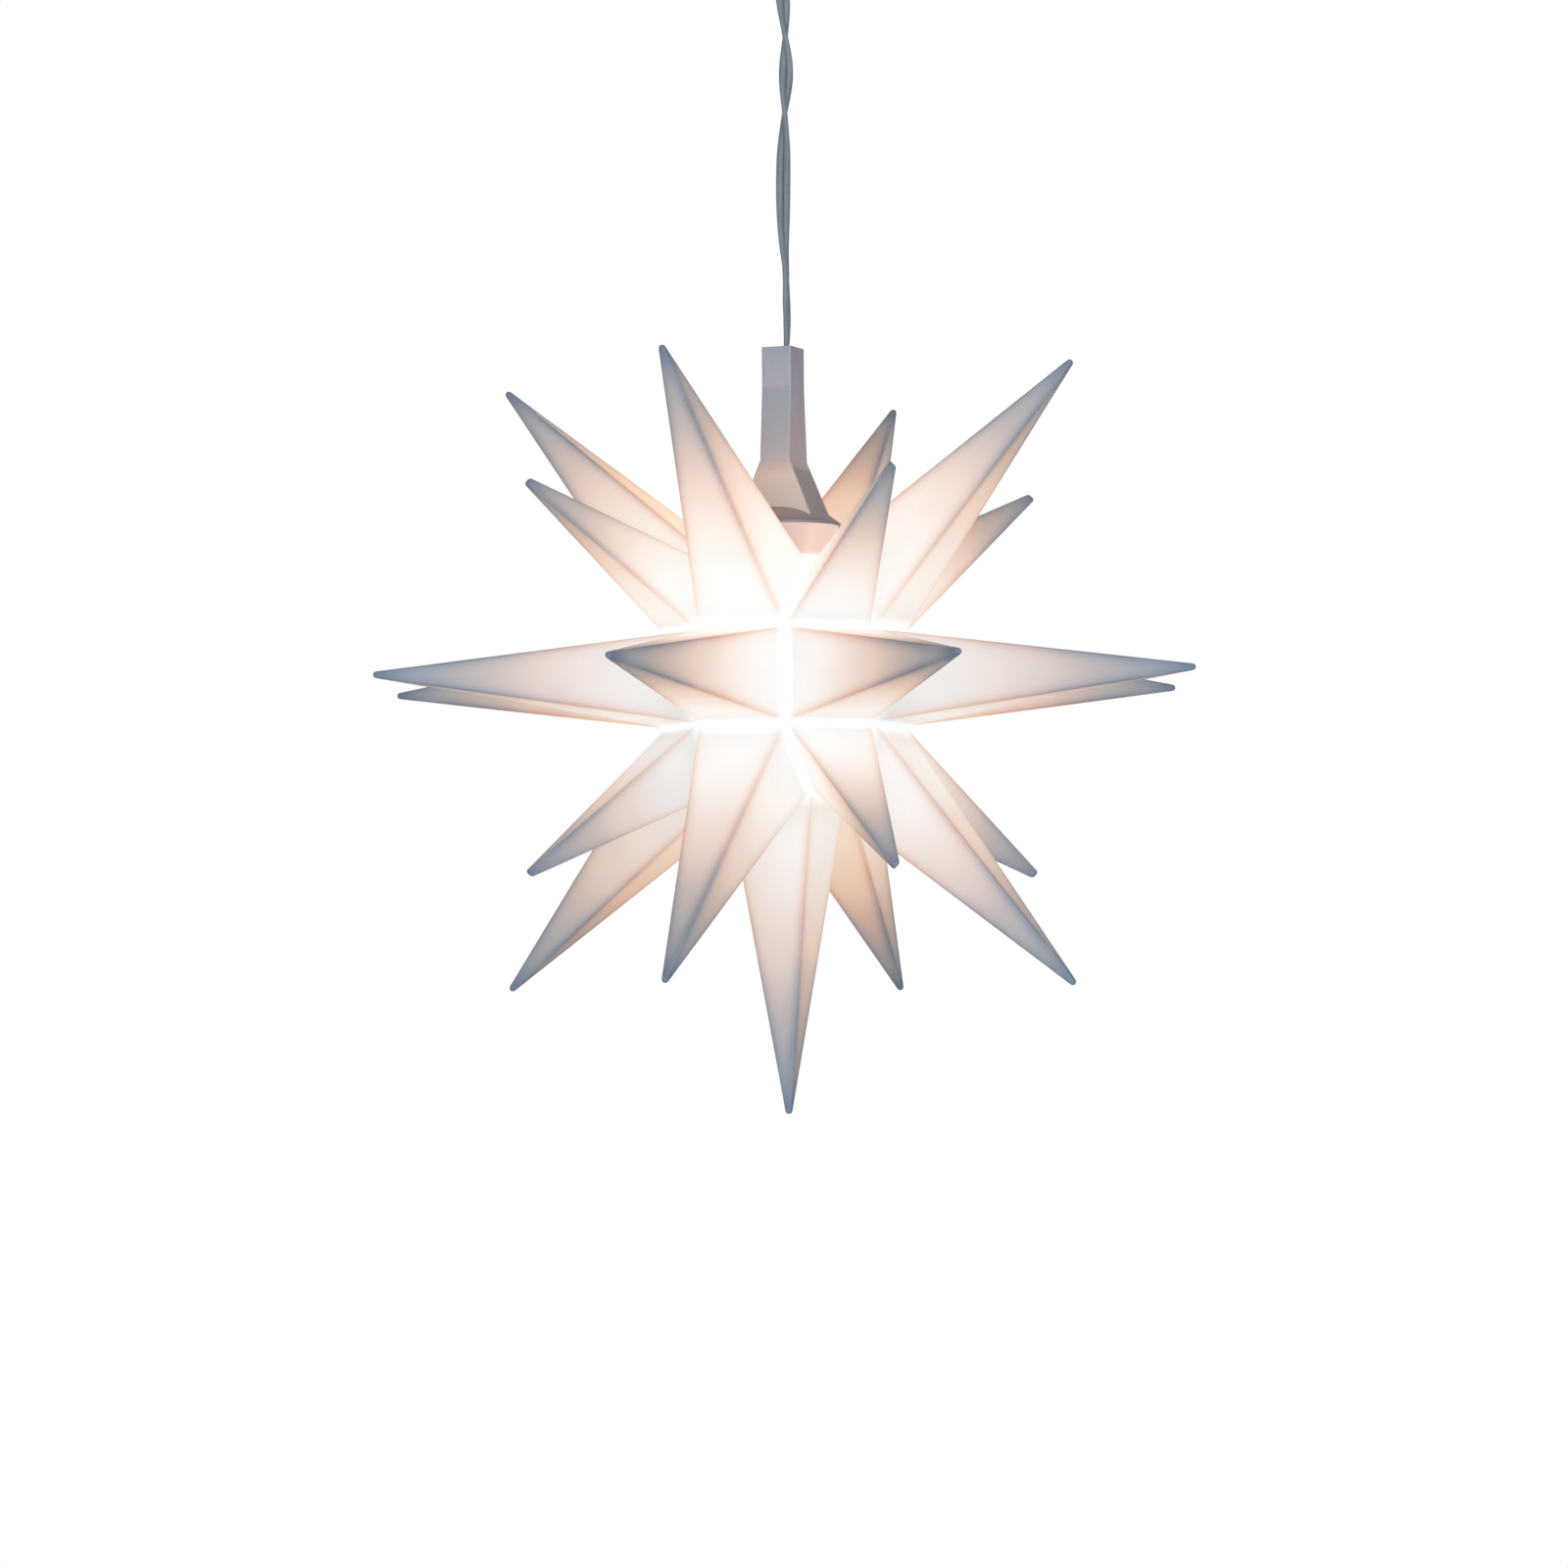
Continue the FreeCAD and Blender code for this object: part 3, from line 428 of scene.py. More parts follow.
def uneven(tree, size_mm, low, high, stretch=(1, 1, 1)):
    """A number that drifts between two values in soft patches about size_mm wide."""
    place = add_node(tree, "ShaderNodeTexCoord")
    fitted = add_node(tree, "ShaderNodeMapping", {"Vector": place.outputs["Object"]}, Scale=stretch)
    patches = add_node(tree, "ShaderNodeTexNoise", {"Vector": fitted.outputs[0]}, Detail=3.0,
                       Scale=PER_METRE / size_mm)
    drift = add_node(tree, "ShaderNodeMapRange", {"Value": patches.outputs["Fac"], "From Min": NOISE_LOW,
                                                  "From Max": NOISE_HIGH, "To Min": low, "To Max": high})
    return drift.outputs[0]


def rough_skin(tree, shader, size_mm, depth_mm, low, high, stretch=(1, 1, 1)):
    """Fine surface grain as bump, and roughness that drifts between two values in patches six grains wide."""
    height = uneven(tree, size_mm, 0.0, 1.0, stretch)
    bump = add_node(tree, "ShaderNodeBump", {"Height": height}, Strength=0.6, Distance=depth_mm * MM)
    tree.links.new(bump.outputs["Normal"], shader.inputs["Normal"])
    tree.links.new(uneven(tree, size_mm * 6, low, high, stretch), shader.inputs["Roughness"])


def height_above_star(tree):
    """Height of a spot above the star's centre, in millimetres, from its Object coordinates in metres."""
    place = add_node(tree, "ShaderNodeTexCoord")
    split = add_node(tree, "ShaderNodeSeparateXYZ", {0: place.outputs["Object"]})
    height = add_node(tree, "ShaderNodeMath", {0: split.outputs["Z"], 1: PER_METRE, 2: -STAR.z / MM},
                      operation="MULTIPLY_ADD")
    return height.outputs[0]


print("shared helpers:", [helper.__name__ for helper in (plastic, uneven, rough_skin, height_above_star)])

# %% Star shell: the light that comes through
# Injection-moulded polypropylene: a waxy satin skin with almost no gloss, cloudy by a few percent where it
# cooled unevenly.  What a ridge leaves of the light is multiplied in, and fades with the distance from it.
star_shell, shell = plastic("polypropylene_translucent_moulded", "617C91", 0.6, specular=0.12)
tree = star_shell.node_tree
along = add_node(tree, "ShaderNodeAttribute", attribute_name="along")
ridge = add_node(tree, "ShaderNodeAttribute", attribute_name="ridge_mm")
glow = add_node(tree, "ShaderNodeValToRGB", {"Fac": along.outputs["Fac"]}, stops=GLOW)
left = add_node(tree, "ShaderNodeValToRGB", {"Fac": along.outputs["Fac"]}, stops=RIDGE_GLOW)
near = add_node(tree, "ShaderNodeMath", {0: ridge.outputs["Fac"], 1: -1 / RIDGE_FADE}, operation="MULTIPLY")
thick = add_node(tree, "ShaderNodeMath", {0: near.outputs[0]}, operation="EXPONENT")
dimmed = add_node(tree, "ShaderNodeMix", {0: thick.outputs[0], 6: glow.outputs["Color"],
                                          7: left.outputs["Color"]}, data_type="RGBA", blend_type="MULTIPLY")
print("nodes for the light through the shell:", len(tree.nodes))

# %% Star shell: amber light between the points
# Faces that look in at the cord's line see only their warm neighbours, so their light is amber.
AMBER = (1.03, 0.89, 0.72, 1)
AMBER_STARTS, AMBER_FULL = -0.35, -0.52     # share of the normal that points outwards; inwards is below 0
looks = add_node(tree, "ShaderNodeTexCoord")
outward = add_node(tree, "ShaderNodeVectorMath", {0: looks.outputs["Object"]}, operation="MULTIPLY")
outward.inputs[1].default_value = (1, 1, 0)
outward = add_node(tree, "ShaderNodeVectorMath", {0: outward.outputs[0]}, operation="NORMALIZE")
outward = add_node(tree, "ShaderNodeVectorMath", {0: outward.outputs[0], 1: looks.outputs["Normal"]},
                   operation="DOT_PRODUCT")
inward = add_node(tree, "ShaderNodeMapRange", {"Value": outward.outputs["Value"], "From Min": AMBER_STARTS,
                                               "From Max": AMBER_FULL})
amber = add_node(tree, "ShaderNodeMix", {0: inward.outputs[0], 6: dimmed.outputs["Result"]},
                 data_type="RGBA", blend_type="MULTIPLY")
amber.inputs[7].default_value = AMBER
tree.links.new(amber.outputs["Result"], shell.inputs["Emission Color"])
print("amber starts and is full at:", AMBER_STARTS, AMBER_FULL)

# %% Star shell: strength of the light, and skin
# The lamp hangs from above, so the upper points get more of its light than the lower ones.  Each point also
# has a share of its own, which its mesh carries.  The grain of the mould is finer than a pixel, so it is
# drawn 0.5 mm wide to show at all.
TIP_HEIGHT = KINDS["four"]["reach"]         # of the upper and lower tips, from the star's centre
LOWEST_LIGHT, HIGHEST_LIGHT = 0.86, 1.14
nearer = add_node(tree, "ShaderNodeMapRange", {"Value": height_above_star(tree), "From Min": -TIP_HEIGHT,
                                               "From Max": TIP_HEIGHT, "To Min": LOWEST_LIGHT,
                                               "To Max": HIGHEST_LIGHT})
cloud = uneven(tree, size_mm=7.0, low=0.975, high=1.025)
strength = add_node(tree, "ShaderNodeMath", {0: nearer.outputs[0], 1: cloud}, operation="MULTIPLY")
own = add_node(tree, "ShaderNodeAttribute", attribute_name="light")
strength = add_node(tree, "ShaderNodeMath", {0: strength.outputs[0], 1: own.outputs["Fac"]},
                    operation="MULTIPLY")
tree.links.new(strength.outputs[0], shell.inputs["Emission Strength"])
rough_skin(tree, shell, size_mm=0.5, depth_mm=0.012, low=0.54, high=0.66)
print("shell nodes:", len(tree.nodes))

# %% [markdown]
# ## Copy the points round the core
#
# The directions of the points come from a rule: every direction whose three terms are -1, 0 or 1.  One or two
# terms give the square faces and three give the triangles.  The straight-up square holds the collar instead
# of a point.  A copy's ridges have to stand on the core's corners, so each copy is turned by a matrix made
# from its direction and its nearest corner.  Each copy has a mesh of its own, with the turn worked into it.

# %% Corners of the core and the turn of each point
CORNERS = []
for far_axis in range(3):
    for signs in product((1, -1), repeat=3):
        corner = [0.5, 0.5, 0.5]
        corner[far_axis] = FAR
        CORNERS.append(Vector([value * sign for value, sign in zip(corner, signs)]))

COMPASS = {1: "p", 0: "0", -1: "n"}


def node_name(kind_name, direction):
    """CAD name of the point that looks in a direction of three terms."""
    return f"{kind_name}_point_" + "_".join(axis + COMPASS[term] for axis, term in zip("xyz", direction))


def turn_to(direction):
    """Matrix that turns +Z to the direction and +Y to a corner of that face."""
    up = Vector(direction).normalized()
    corner = max(CORNERS, key=lambda c: round(c.dot(up), 6))
    across = (corner - up * corner.dot(up)).normalized()
    return Matrix((across.cross(up), across, up)).transposed().to_4x4()


print("core corners:", len(CORNERS))

# %% [markdown]
# ## No two points are quite alike
#
# The points are pushed into the core by hand and none stands quite true, and a wall that came out of the
# mould a little thicker lets a little less light through.  The table gives three numbers for each point: how
# far its tip stands off its ideal place, to the picture's right and up in millimetres, and its share of the
# usual light.  All three come from scripts that measured the render against the picture, and were rounded
# afterwards, the shifts to a tenth of a millimetre.  A point that has no row is left true.

# %% Each point's lean and light
POINT_CHARACTER = {
    "four_point_xp_y0_z0": (0.0, 0.0, 0.88), "four_point_xn_y0_z0": (0.0, -0.1, 1.00),
    "four_point_x0_yn_z0": (0.0, -0.1, 1.04), "four_point_xp_yp_z0": (0.1, 0.2, 1.00),
    "four_point_xp_yn_z0": (-0.3, 0.0, 1.00), "four_point_xn_yn_z0": (-0.2, -0.2, 0.90),
    "four_point_xp_y0_zp": (0.3, 0.1, 1.00), "four_point_xp_y0_zn": (-0.2, -0.2, 1.00),
    "four_point_xn_y0_zp": (-0.1, 0.1, 1.00), "four_point_xn_y0_zn": (0.0, 0.1, 0.94),
    "four_point_x0_yp_zp": (-0.2, -0.4, 0.93), "four_point_x0_yp_zn": (0.1, 0.2, 1.00),
    "four_point_x0_yn_zp": (0.2, -0.3, 1.08), "four_point_x0_yn_zn": (0.0, 0.2, 1.04),
    "three_point_xp_yp_zp": (0.1, 0.0, 1.00), "three_point_xp_yp_zn": (0.1, 0.1, 0.93),
    "three_point_xp_yn_zp": (0.0, -0.2, 1.00), "three_point_xp_yn_zn": (0.0, -0.3, 1.06),
    "three_point_xn_yn_zp": (-0.2, 0.0, 1.03), "three_point_xn_yn_zn": (-0.3, -0.2, 0.90),
    "three_point_xn_yp_zp": (0.5, 0.0, 1.00),
}


def give_character(mesh, right_mm, up_mm, light):
    """Lean a point, more the nearer a spot is to the tip, and store the point's share of the light."""
    for v, share in zip(mesh.vertices, mesh.attributes["along"].data):
        v.co += (RIGHT * right_mm + Vector((0, 0, up_mm))) * share.value * MM
    mesh.attributes.new("light", "FLOAT", "POINT").data.foreach_set("value", [light] * len(mesh.vertices))


print("largest lean, mm:", max(abs(value) for row in POINT_CHARACTER.values() for value in row[:2]))

# %% Place 25 points and let each stand for its CAD node
placed = []
for direction in product((1, 0, -1), repeat=3):
    terms = sum(abs(term) for term in direction)
    if terms == 0 or direction == (0, 0, 1):
        continue
    kind_name = "three" if terms == 3 else "four"
    node = node_name(kind_name, direction)
    mesh = masters[kind_name].data.copy()
    mesh.transform(Matrix.Translation(STAR) @ turn_to(direction))
    give_character(mesh, *POINT_CHARACTER.get(node, (0, 0, 1)))
    point = bpy.data.objects.new("shell_" + node, mesh)
    bpy.context.collection.objects.link(point)
    point.data.materials.append(star_shell)
    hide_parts(node)
    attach(point, "star")
    placed.append(point)
for master in masters.values():
    bpy.data.objects.remove(master)
print("points placed:", len(placed))

# %% [markdown]
# ## Cord: a twisted pair
#
# The cord is two soft strands laid loosely round each other and pulled straight by the star.  Its middle line
# is a smooth NURBS curve.  The strands follow points read from that curve, half a pair's width to either
# side, and the twist is uneven, as on a cord that came off a reel: a table gives how far it has turned at
# some heights.

# %% Cord route
# Each row: height above the star's centre, shift to the right, both in millimetres, and the turn in degrees.
CORD = [
    (50.1, 0.55, 0), (54.0, 0.72, 15), (57.1, 0.62, 18), (60.4, 0.58, 8), (63.0, 0.55, 12), (66.0, 0.28, 32),
    (71.9, 0.22, 72), (79.9, 0.33, 112), (86.3, 0.57, 180), (92.3, 0.88, 272), (97.8, 0.76, 360),
    (103.8, 0.45, 445), (106.4, 0.2, 490), (108.9, 0.0, 530),
]
route_data = bpy.data.curves.new("cord_route", "CURVE")
route_data.dimensions = "3D"
route_data.resolution_u = 24
spline = route_data.splines.new("NURBS")
spline.points.add(len(CORD) - 1)
for control, (height, shift, _) in zip(spline.points, CORD):
    control.co = (*(STAR + Vector((0, 0, height * MM)) + RIGHT * shift * MM), 1)
spline.order_u = 3
spline.use_endpoint_u = True
route = bpy.data.objects.new("cord_route", route_data)
bpy.context.collection.objects.link(route)
line = bpy.data.meshes.new_from_object(route)
middle = [v.co.copy() for v in line.vertices]
bpy.data.objects.remove(route)
print("cord length, mm:", round(sum((b - a).length for a, b in zip(middle, middle[1:])) / MM, 1))

# %% Two strands that wind about the route
STRAND_RADIUS = 0.55        # millimetres
LAY_RADIUS = 0.54           # millimetres, from the middle of the pair to the middle of a strand
FLATNESS = 0.75             # thickness of a strand over its width
SPACING = 4                 # a strand follows every fourth spot of the middle line, and the last one


def turned(height):
    """Twist of the pair at a height, in radians, read between the table's rows."""
    for (low, _, start), (high, _, end) in zip(CORD, CORD[1:]):
        if height <= high:
            share = (height - low) / (high - low)
            return radians(start + (end - start) * share)
    return radians(CORD[-1][2])


def strand(name, half_turn):
    """One strand of the pair, as a round tube that winds about the middle line."""
    data = bpy.data.curves.new(name, "CURVE")
    data.dimensions = "3D"
    data.bevel_depth = STRAND_RADIUS * MM
    data.bevel_resolution = 5
    data.use_fill_caps = True
    data.resolution_u = 3
    tube = data.splines.new("NURBS")
    picked = middle[::SPACING]
    if picked[-1] != middle[-1]:
        picked.append(middle[-1])
    tube.points.add(len(picked) - 1)
    for control, spot in zip(tube.points, picked):
        angle = turned((spot.z - STAR.z) / MM) + half_turn
        control.co = (*(spot + (RIGHT * sin(angle) + AWAY * cos(angle)) * LAY_RADIUS * MM), 1)
    tube.order_u = 4
    tube.use_endpoint_u = True
    obj = bpy.data.objects.new(name, data)
    bpy.context.collection.objects.link(obj)
    return obj


deselect_all()
strands = [strand("cord_strand_a", 0.0), strand("cord_strand_b", pi)]
print("strands:", [obj.name for obj in strands])

# %% [markdown]
# ## One mesh for the pair
#
# The two tubes become one mesh, because they are one cord.  A soft strand that presses on its neighbour is
# flatter than it is wide, so the mesh is squeezed a little across the plane of the pair, at every height.

for obj in strands:
    obj.select_set(True)
bpy.context.view_layer.objects.active = strands[0]
bpy.ops.object.convert(target="MESH")
bpy.ops.object.join()
cord = bpy.context.object
cord.name = "cord_pair"
for v in cord.data.vertices:
    nearest = min(middle, key=lambda spot: abs(spot.z - v.co.z))
    angle = turned((v.co.z - STAR.z) / MM)
    thin = RIGHT * cos(angle) - AWAY * sin(angle)
    v.co -= thin * (v.co - nearest).dot(thin) * (1 - FLATNESS)
bpy.ops.object.shade_smooth()
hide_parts("hanging_cord")
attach(cord, "hanging_cord")
print("cord faces:", len(cord.data.polygons))

# %% [markdown]
# ## Lampholder housing: satin grey ABS
#
# The housing is a slim neck that flares to a skirt over the star's opening.  It is moulded ABS.  Its warm
# glow
# is painted light, given as emission: near the foot it is the star's light that falls on the broad faces and
# comes through the thin walls, and near the top it is light through the walls that stops at a soft level
# line.
# Its narrow sides get less of it, as painted shade, and the shoulder that looks up has painted shade from the
# points.  Height above the star's centre and the way a face looks are enough to say all that.  So the
# material reads the Texture Coordinate node's Object and Normal outputs, which turn with the piece, and needs
# no picture.

# %% Helpers for finishes that follow the height
def colour_by_height(tree, low, high, rows):
    """Colours by height above the star's centre; each row is a height in millimetres and a colour."""
    share = add_node(tree, "ShaderNodeMapRange", {"Value": height_above_star(tree), "From Min": low,
                                                  "From Max": high})
    stops = [((height - low) / (high - low), colour) for height, colour in rows]
    blend = add_node(tree, "ShaderNodeValToRGB", {"Fac": share.outputs[0]}, stops=stops)
    return blend.outputs["Color"]


def dress(node, finish):
    """Give a CAD node's object one material."""
    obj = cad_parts[node]
    obj.data.materials.clear()
    obj.data.materials.append(finish)


# %% Housing: painted light by height, the star's light on the housing and through its walls
# The rows were moved, here and for the plug, until the render agreed with the picture's colours at
# chosen spots.
HOUSING_FOOT, HOUSING_TOP = 23, 50          # millimetres above the star's centre
# Painted light: the star's light on and through the housing, given as emission.
FRONT_PAINTED_LIGHT = [                              # on the broad faces, as linear red, green and blue
    (23.0, (0.00, 0.00, 0.00)), (23.6, (0.00, 0.00, 0.00)), (23.8, (0.12, 0.11, 0.12)),
    (24.3, (0.23, 0.17, 0.125)), (31.0, (0.30, 0.19, 0.12)), (31.9, (0.24, 0.105, 0.045)),
    (33.0, (0.14, 0.05, 0.015)), (36.6, (0.05, 0.005, 0.00)), (41.4, (0.005, 0.00, 0.01)),
    (44.2, (0.005, 0.00, 0.02)), (44.5, (0.06, 0.035, 0.055)), (50.0, (0.00, 0.00, 0.025)),
]
SIDE_PAINTED_LIGHT = [                               # on the narrow sides
    (23.0, (0.01, 0.00, 0.00)), (31.6, (0.02, 0.005, 0.00)), (32.3, (0.135, 0.05, 0.035)),
    (41.4, (0.075, 0.035, 0.05)), (46.0, (0.035, 0.01, 0.035)), (50.0, (0.02, 0.00, 0.03)),
]
print("housing glow rows:", len(FRONT_PAINTED_LIGHT), "front,", len(SIDE_PAINTED_LIGHT), "side")

# %% Housing: satin skin, and painted light as emission
# Injection-moulded ABS with a spark-eroded satin skin: soft, wide highlights, and a grain of about 0.6 mm.
housing_finish, housing = plastic("ABS_satin_moulded_grey", "969BA2", 0.5, specular=0.15)
tree = housing_finish.node_tree
rough_skin(tree, housing, size_mm=0.6, depth_mm=0.02, low=0.44, high=0.56)
facing = add_node(tree, "ShaderNodeTexCoord")
facing = add_node(tree, "ShaderNodeSeparateXYZ", {0: facing.outputs["Normal"]})
# The broad faces get the front rows of painted light, and the narrow sides the dimmer side rows, as painted
# shade.
broad = add_node(tree, "ShaderNodeMath", {0: facing.outputs["Y"]}, operation="ABSOLUTE")
side_painted_light = colour_by_height(tree, HOUSING_FOOT, HOUSING_TOP, SIDE_PAINTED_LIGHT)
front_painted_light = colour_by_height(tree, HOUSING_FOOT, HOUSING_TOP, FRONT_PAINTED_LIGHT)
warm = add_node(tree, "ShaderNodeMix", {0: broad.outputs[0], 6: side_painted_light, 7: front_painted_light}, data_type="RGBA")
tree.links.new(warm.outputs["Result"], housing.inputs["Emission Color"])
housing.inputs["Emission Strength"].default_value = 1.0
print("housing nodes so far:", len(tree.nodes))

# %% Housing: base colour by height with painted shade, darker towards the foot and on the shoulder
# Painted shade: the rows below 32.4 mm are darker and warmer, and darkest along the rim at the foot.
BODY_WITH_PAINTED_SHADE = [(23.0, "867A7E"), (23.65, "867A7E"), (23.75, "8E898D"), (31.4, "969297"), (32.4, "969BA2"),
        (50.0, "969BA2")]
UP_STARTS, UP_FULL = 0.5, 0.75              # share of the normal that points up
SHADE_STARTS, SHADE_FULL = 30.0, 27.0       # millimetres above the star's centre
body = colour_by_height(tree, HOUSING_FOOT, HOUSING_TOP, BODY_WITH_PAINTED_SHADE)
looks_up = add_node(tree, "ShaderNodeMapRange", {"Value": facing.outputs["Z"], "From Min": UP_STARTS,
                                                 "From Max": UP_FULL})
low_down = add_node(tree, "ShaderNodeMapRange", {"Value": height_above_star(tree), "From Min": SHADE_STARTS,
                                                 "From Max": SHADE_FULL})
shade = add_node(tree, "ShaderNodeMath", {0: looks_up.outputs[0], 1: low_down.outputs[0]},
                 operation="MULTIPLY")
# Painted shade from the points: faces that look up, below 30 mm, turn to the darker colour.
painted_shade_tint = add_node(tree, "ShaderNodeMix", {0: shade.outputs[0], 6: body}, data_type="RGBA")
painted_shade_tint.inputs[7].default_value = linear("79707A")
cloudy = add_node(tree, "ShaderNodeHueSaturation", {"Color": painted_shade_tint.outputs["Result"],
                                                    "Value": uneven(tree, size_mm=4.0, low=0.98, high=1.02)})
tree.links.new(cloudy.outputs["Color"], housing.inputs["Base Color"])
dress("holder_housing", housing_finish)
print("housing nodes:", len(tree.nodes))

# %% [markdown]
# ## Plug and collar: the lit parts round the opening
#
# The plug under the skirt and the star's collar are the same milky plastic as the points, and they sit right
# above the lamp.  They could be lit by a real lamp inside, but the render would need many more rays to find
# its way out, so they glow by their own emission too: the plug pinkish, and paler where it meets the collar.

# %% Plug
# Moulded polypropylene, a little thicker than the points: satin, cloudy by a few percent.  Its sides also get
# the light that bounces off the points beside them, so they are brighter than its front and back.
PLUG_FOOT, PLUG_TOP = 18.7, 23.3            # millimetres above the star's centre
PLUG_GLOW = [(PLUG_FOOT, "B0A096"), (19.2, "A18B81"), (21.0, "9C8A80"), (PLUG_TOP, "9A8C87")]
FRONT_ON, SIDEWAYS = 0.99, 0.8              # share of the normal that points at the camera's side or away
FRONT_LIGHT, SIDE_LIGHT = 0.94, 1.75
plug_finish, plug = plastic("polypropylene_translucent_plug", "8E7B74", 0.5, specular=0.2)
tree = plug_finish.node_tree
rough_skin(tree, plug, size_mm=0.5, depth_mm=0.012, low=0.45, high=0.58)
tree.links.new(colour_by_height(tree, PLUG_FOOT, PLUG_TOP, PLUG_GLOW), plug.inputs["Emission Color"])
facing = add_node(tree, "ShaderNodeTexCoord")
across = add_node(tree, "ShaderNodeVectorMath", {0: facing.outputs["Normal"]}, operation="DOT_PRODUCT")
across.inputs[1].default_value = AWAY
across = add_node(tree, "ShaderNodeMath", {0: across.outputs["Value"]}, operation="ABSOLUTE")
bounced = add_node(tree, "ShaderNodeMapRange", {"Value": across.outputs[0], "From Min": FRONT_ON,
                                                "From Max": SIDEWAYS, "To Min": FRONT_LIGHT,
                                                "To Max": SIDE_LIGHT})
cloud = uneven(tree, size_mm=3.0, low=0.97, high=1.03)
bounced = add_node(tree, "ShaderNodeMath", {0: bounced.outputs[0], 1: cloud}, operation="MULTIPLY")
tree.links.new(bounced.outputs[0], plug.inputs["Emission Strength"])
dress("holder_plug", plug_finish)
print("plug nodes:", len(tree.nodes))

# %% Collar
collar_finish, collar = plastic("polypropylene_translucent_collar", "A8B0B4", 0.5, specular=0.2)
tree = collar_finish.node_tree
rough_skin(tree, collar, size_mm=0.5, depth_mm=0.012, low=0.45, high=0.58)
collar.inputs["Emission Color"].default_value = linear("D2CDC8")
tree.links.new(uneven(tree, size_mm=5.0, low=0.96, high=1.02), collar.inputs["Emission Strength"])
dress("star_collar", collar_finish)
print("collar nodes:", len(tree.nodes))

# %% [markdown]
# ## Cord and its ends: soft PVC
#
# The cord's skin is clear soft PVC over tinned copper, which reads as a cool grey with a soft shine.  It is
# pulled through a die, so its faint marks run along it.  The same skin shows where the pair enters the
# ceiling fitting and the lampholder, and each core keeps a thinner skin of its own inside.

# %% Cord skin and core skin
def extruded_skin(name, dark, light):
    """Extruded PVC: soft gloss, patches of 2.5 mm and marks of 0.25 mm, both drawn out along the cord."""
    made, shader = plastic(name, light, 0.45, specular=0.15, ior=1.53)
    tree = made.node_tree
    drift = uneven(tree, size_mm=2.5, low=0.0, high=1.0, stretch=(1, 1, 0.5))
    blend = add_node(tree, "ShaderNodeValToRGB", {"Fac": drift}, stops=[(0.0, dark), (1.0, light)])
    tree.links.new(blend.outputs["Color"], shader.inputs["Base Color"])
    rough_skin(tree, shader, size_mm=0.25, depth_mm=0.015, low=0.40, high=0.55, stretch=(1, 1, 0.12))
    return made


cord_finish = extruded_skin("PVC_clear_grey_extruded", "6B737D", "7B838E")
cord.data.materials.clear()
cord.data.materials.append(cord_finish)
for node in ("cord_end", "cord_foot"):
    dress(node, cord_finish)
core_finish = extruded_skin("PVC_core_skin_extruded", "B4B4B0", "C4C4C0")
for node in ("cord_end_cores", "holder_leads"):
    dress(node, core_finish)
print("cord skins:", cord_finish.name, core_finish.name)

# %% [markdown]
# ## White moulded pieces
#
# The socket, the lamp's base, the cord bush and its nut, and the terminal block are all plain moulded
# plastics that differ in stiffness and shine.  One function gives them what moulding leaves on all of them: a
# colour that drifts by a few percent, a fine mould grain, and a skin that is shinier in some patches than in
# others.

# %% Moulded finishes
def moulded(name, dark, light, low, high):
    """Plain moulded plastic between two near colours, with a grain and a roughness between low and high."""
    made, shader = plastic(name, light, low)
    tree = made.node_tree
    drift = uneven(tree, size_mm=3.0, low=0.0, high=1.0)
    blend = add_node(tree, "ShaderNodeValToRGB", {"Fac": drift}, stops=[(0.0, dark), (1.0, light)])
    tree.links.new(blend.outputs["Color"], shader.inputs["Base Color"])
    rough_skin(tree, shader, size_mm=0.4, depth_mm=0.015, low=low, high=high)
    return made


# Glass-filled PBT is dry and matt, nylon is waxy and soft, and the terminal block's polyamide is shinier.
dress("lamp_socket", moulded("PBT_white_moulded", "CFCFCA", "DAD9D4", low=0.45, high=0.62))
dress("lamp_base", moulded("PBT_ivory_moulded", "DAD9D2", "E4E3DE", low=0.42, high=0.58))
bush_finish = moulded("nylon_white_moulded", "D8D8D5", "E3E3E0", low=0.35, high=0.50)
for node in ("cord_bush", "bush_nut"):
    dress(node, bush_finish)
dress("terminal_block", moulded("polyamide_white_moulded", "D6D6CF", "E2E2DC", low=0.30, high=0.45))
print("moulded finishes:", len([m for m in bpy.data.materials if m.name.endswith("_moulded")]))

# %% [markdown]
# ## Metal pieces
#
# Stamped brass makes the contacts and the terminal's inserts, zinc-plated steel the ceiling plate and all
# screws, and tinned wire the lamp's pins.  A bare metal is a Principled shader with metallic at 1, and its
# colour is its reflection.  Rolling and drawing leave faint lines in one direction, so the grain is stretched
# along it.

# %% Metal finishes
def metal(name, dark, light, low, high, grain_mm, stretch):
    """Bare metal between two near colours; its grain runs along the axis with the smallest stretch."""
    made, shader = plastic(name, light, low, specular=0.5, ior=1.5)
    shader.inputs["Metallic"].default_value = 1.0
    tree = made.node_tree
    drift = uneven(tree, size_mm=1.5, low=0.0, high=1.0, stretch=stretch)
    blend = add_node(tree, "ShaderNodeValToRGB", {"Fac": drift}, stops=[(0.0, dark), (1.0, light)])
    tree.links.new(blend.outputs["Color"], shader.inputs["Base Color"])
    rough_skin(tree, shader, grain_mm, 0.01, low, high, stretch)
    return made, shader


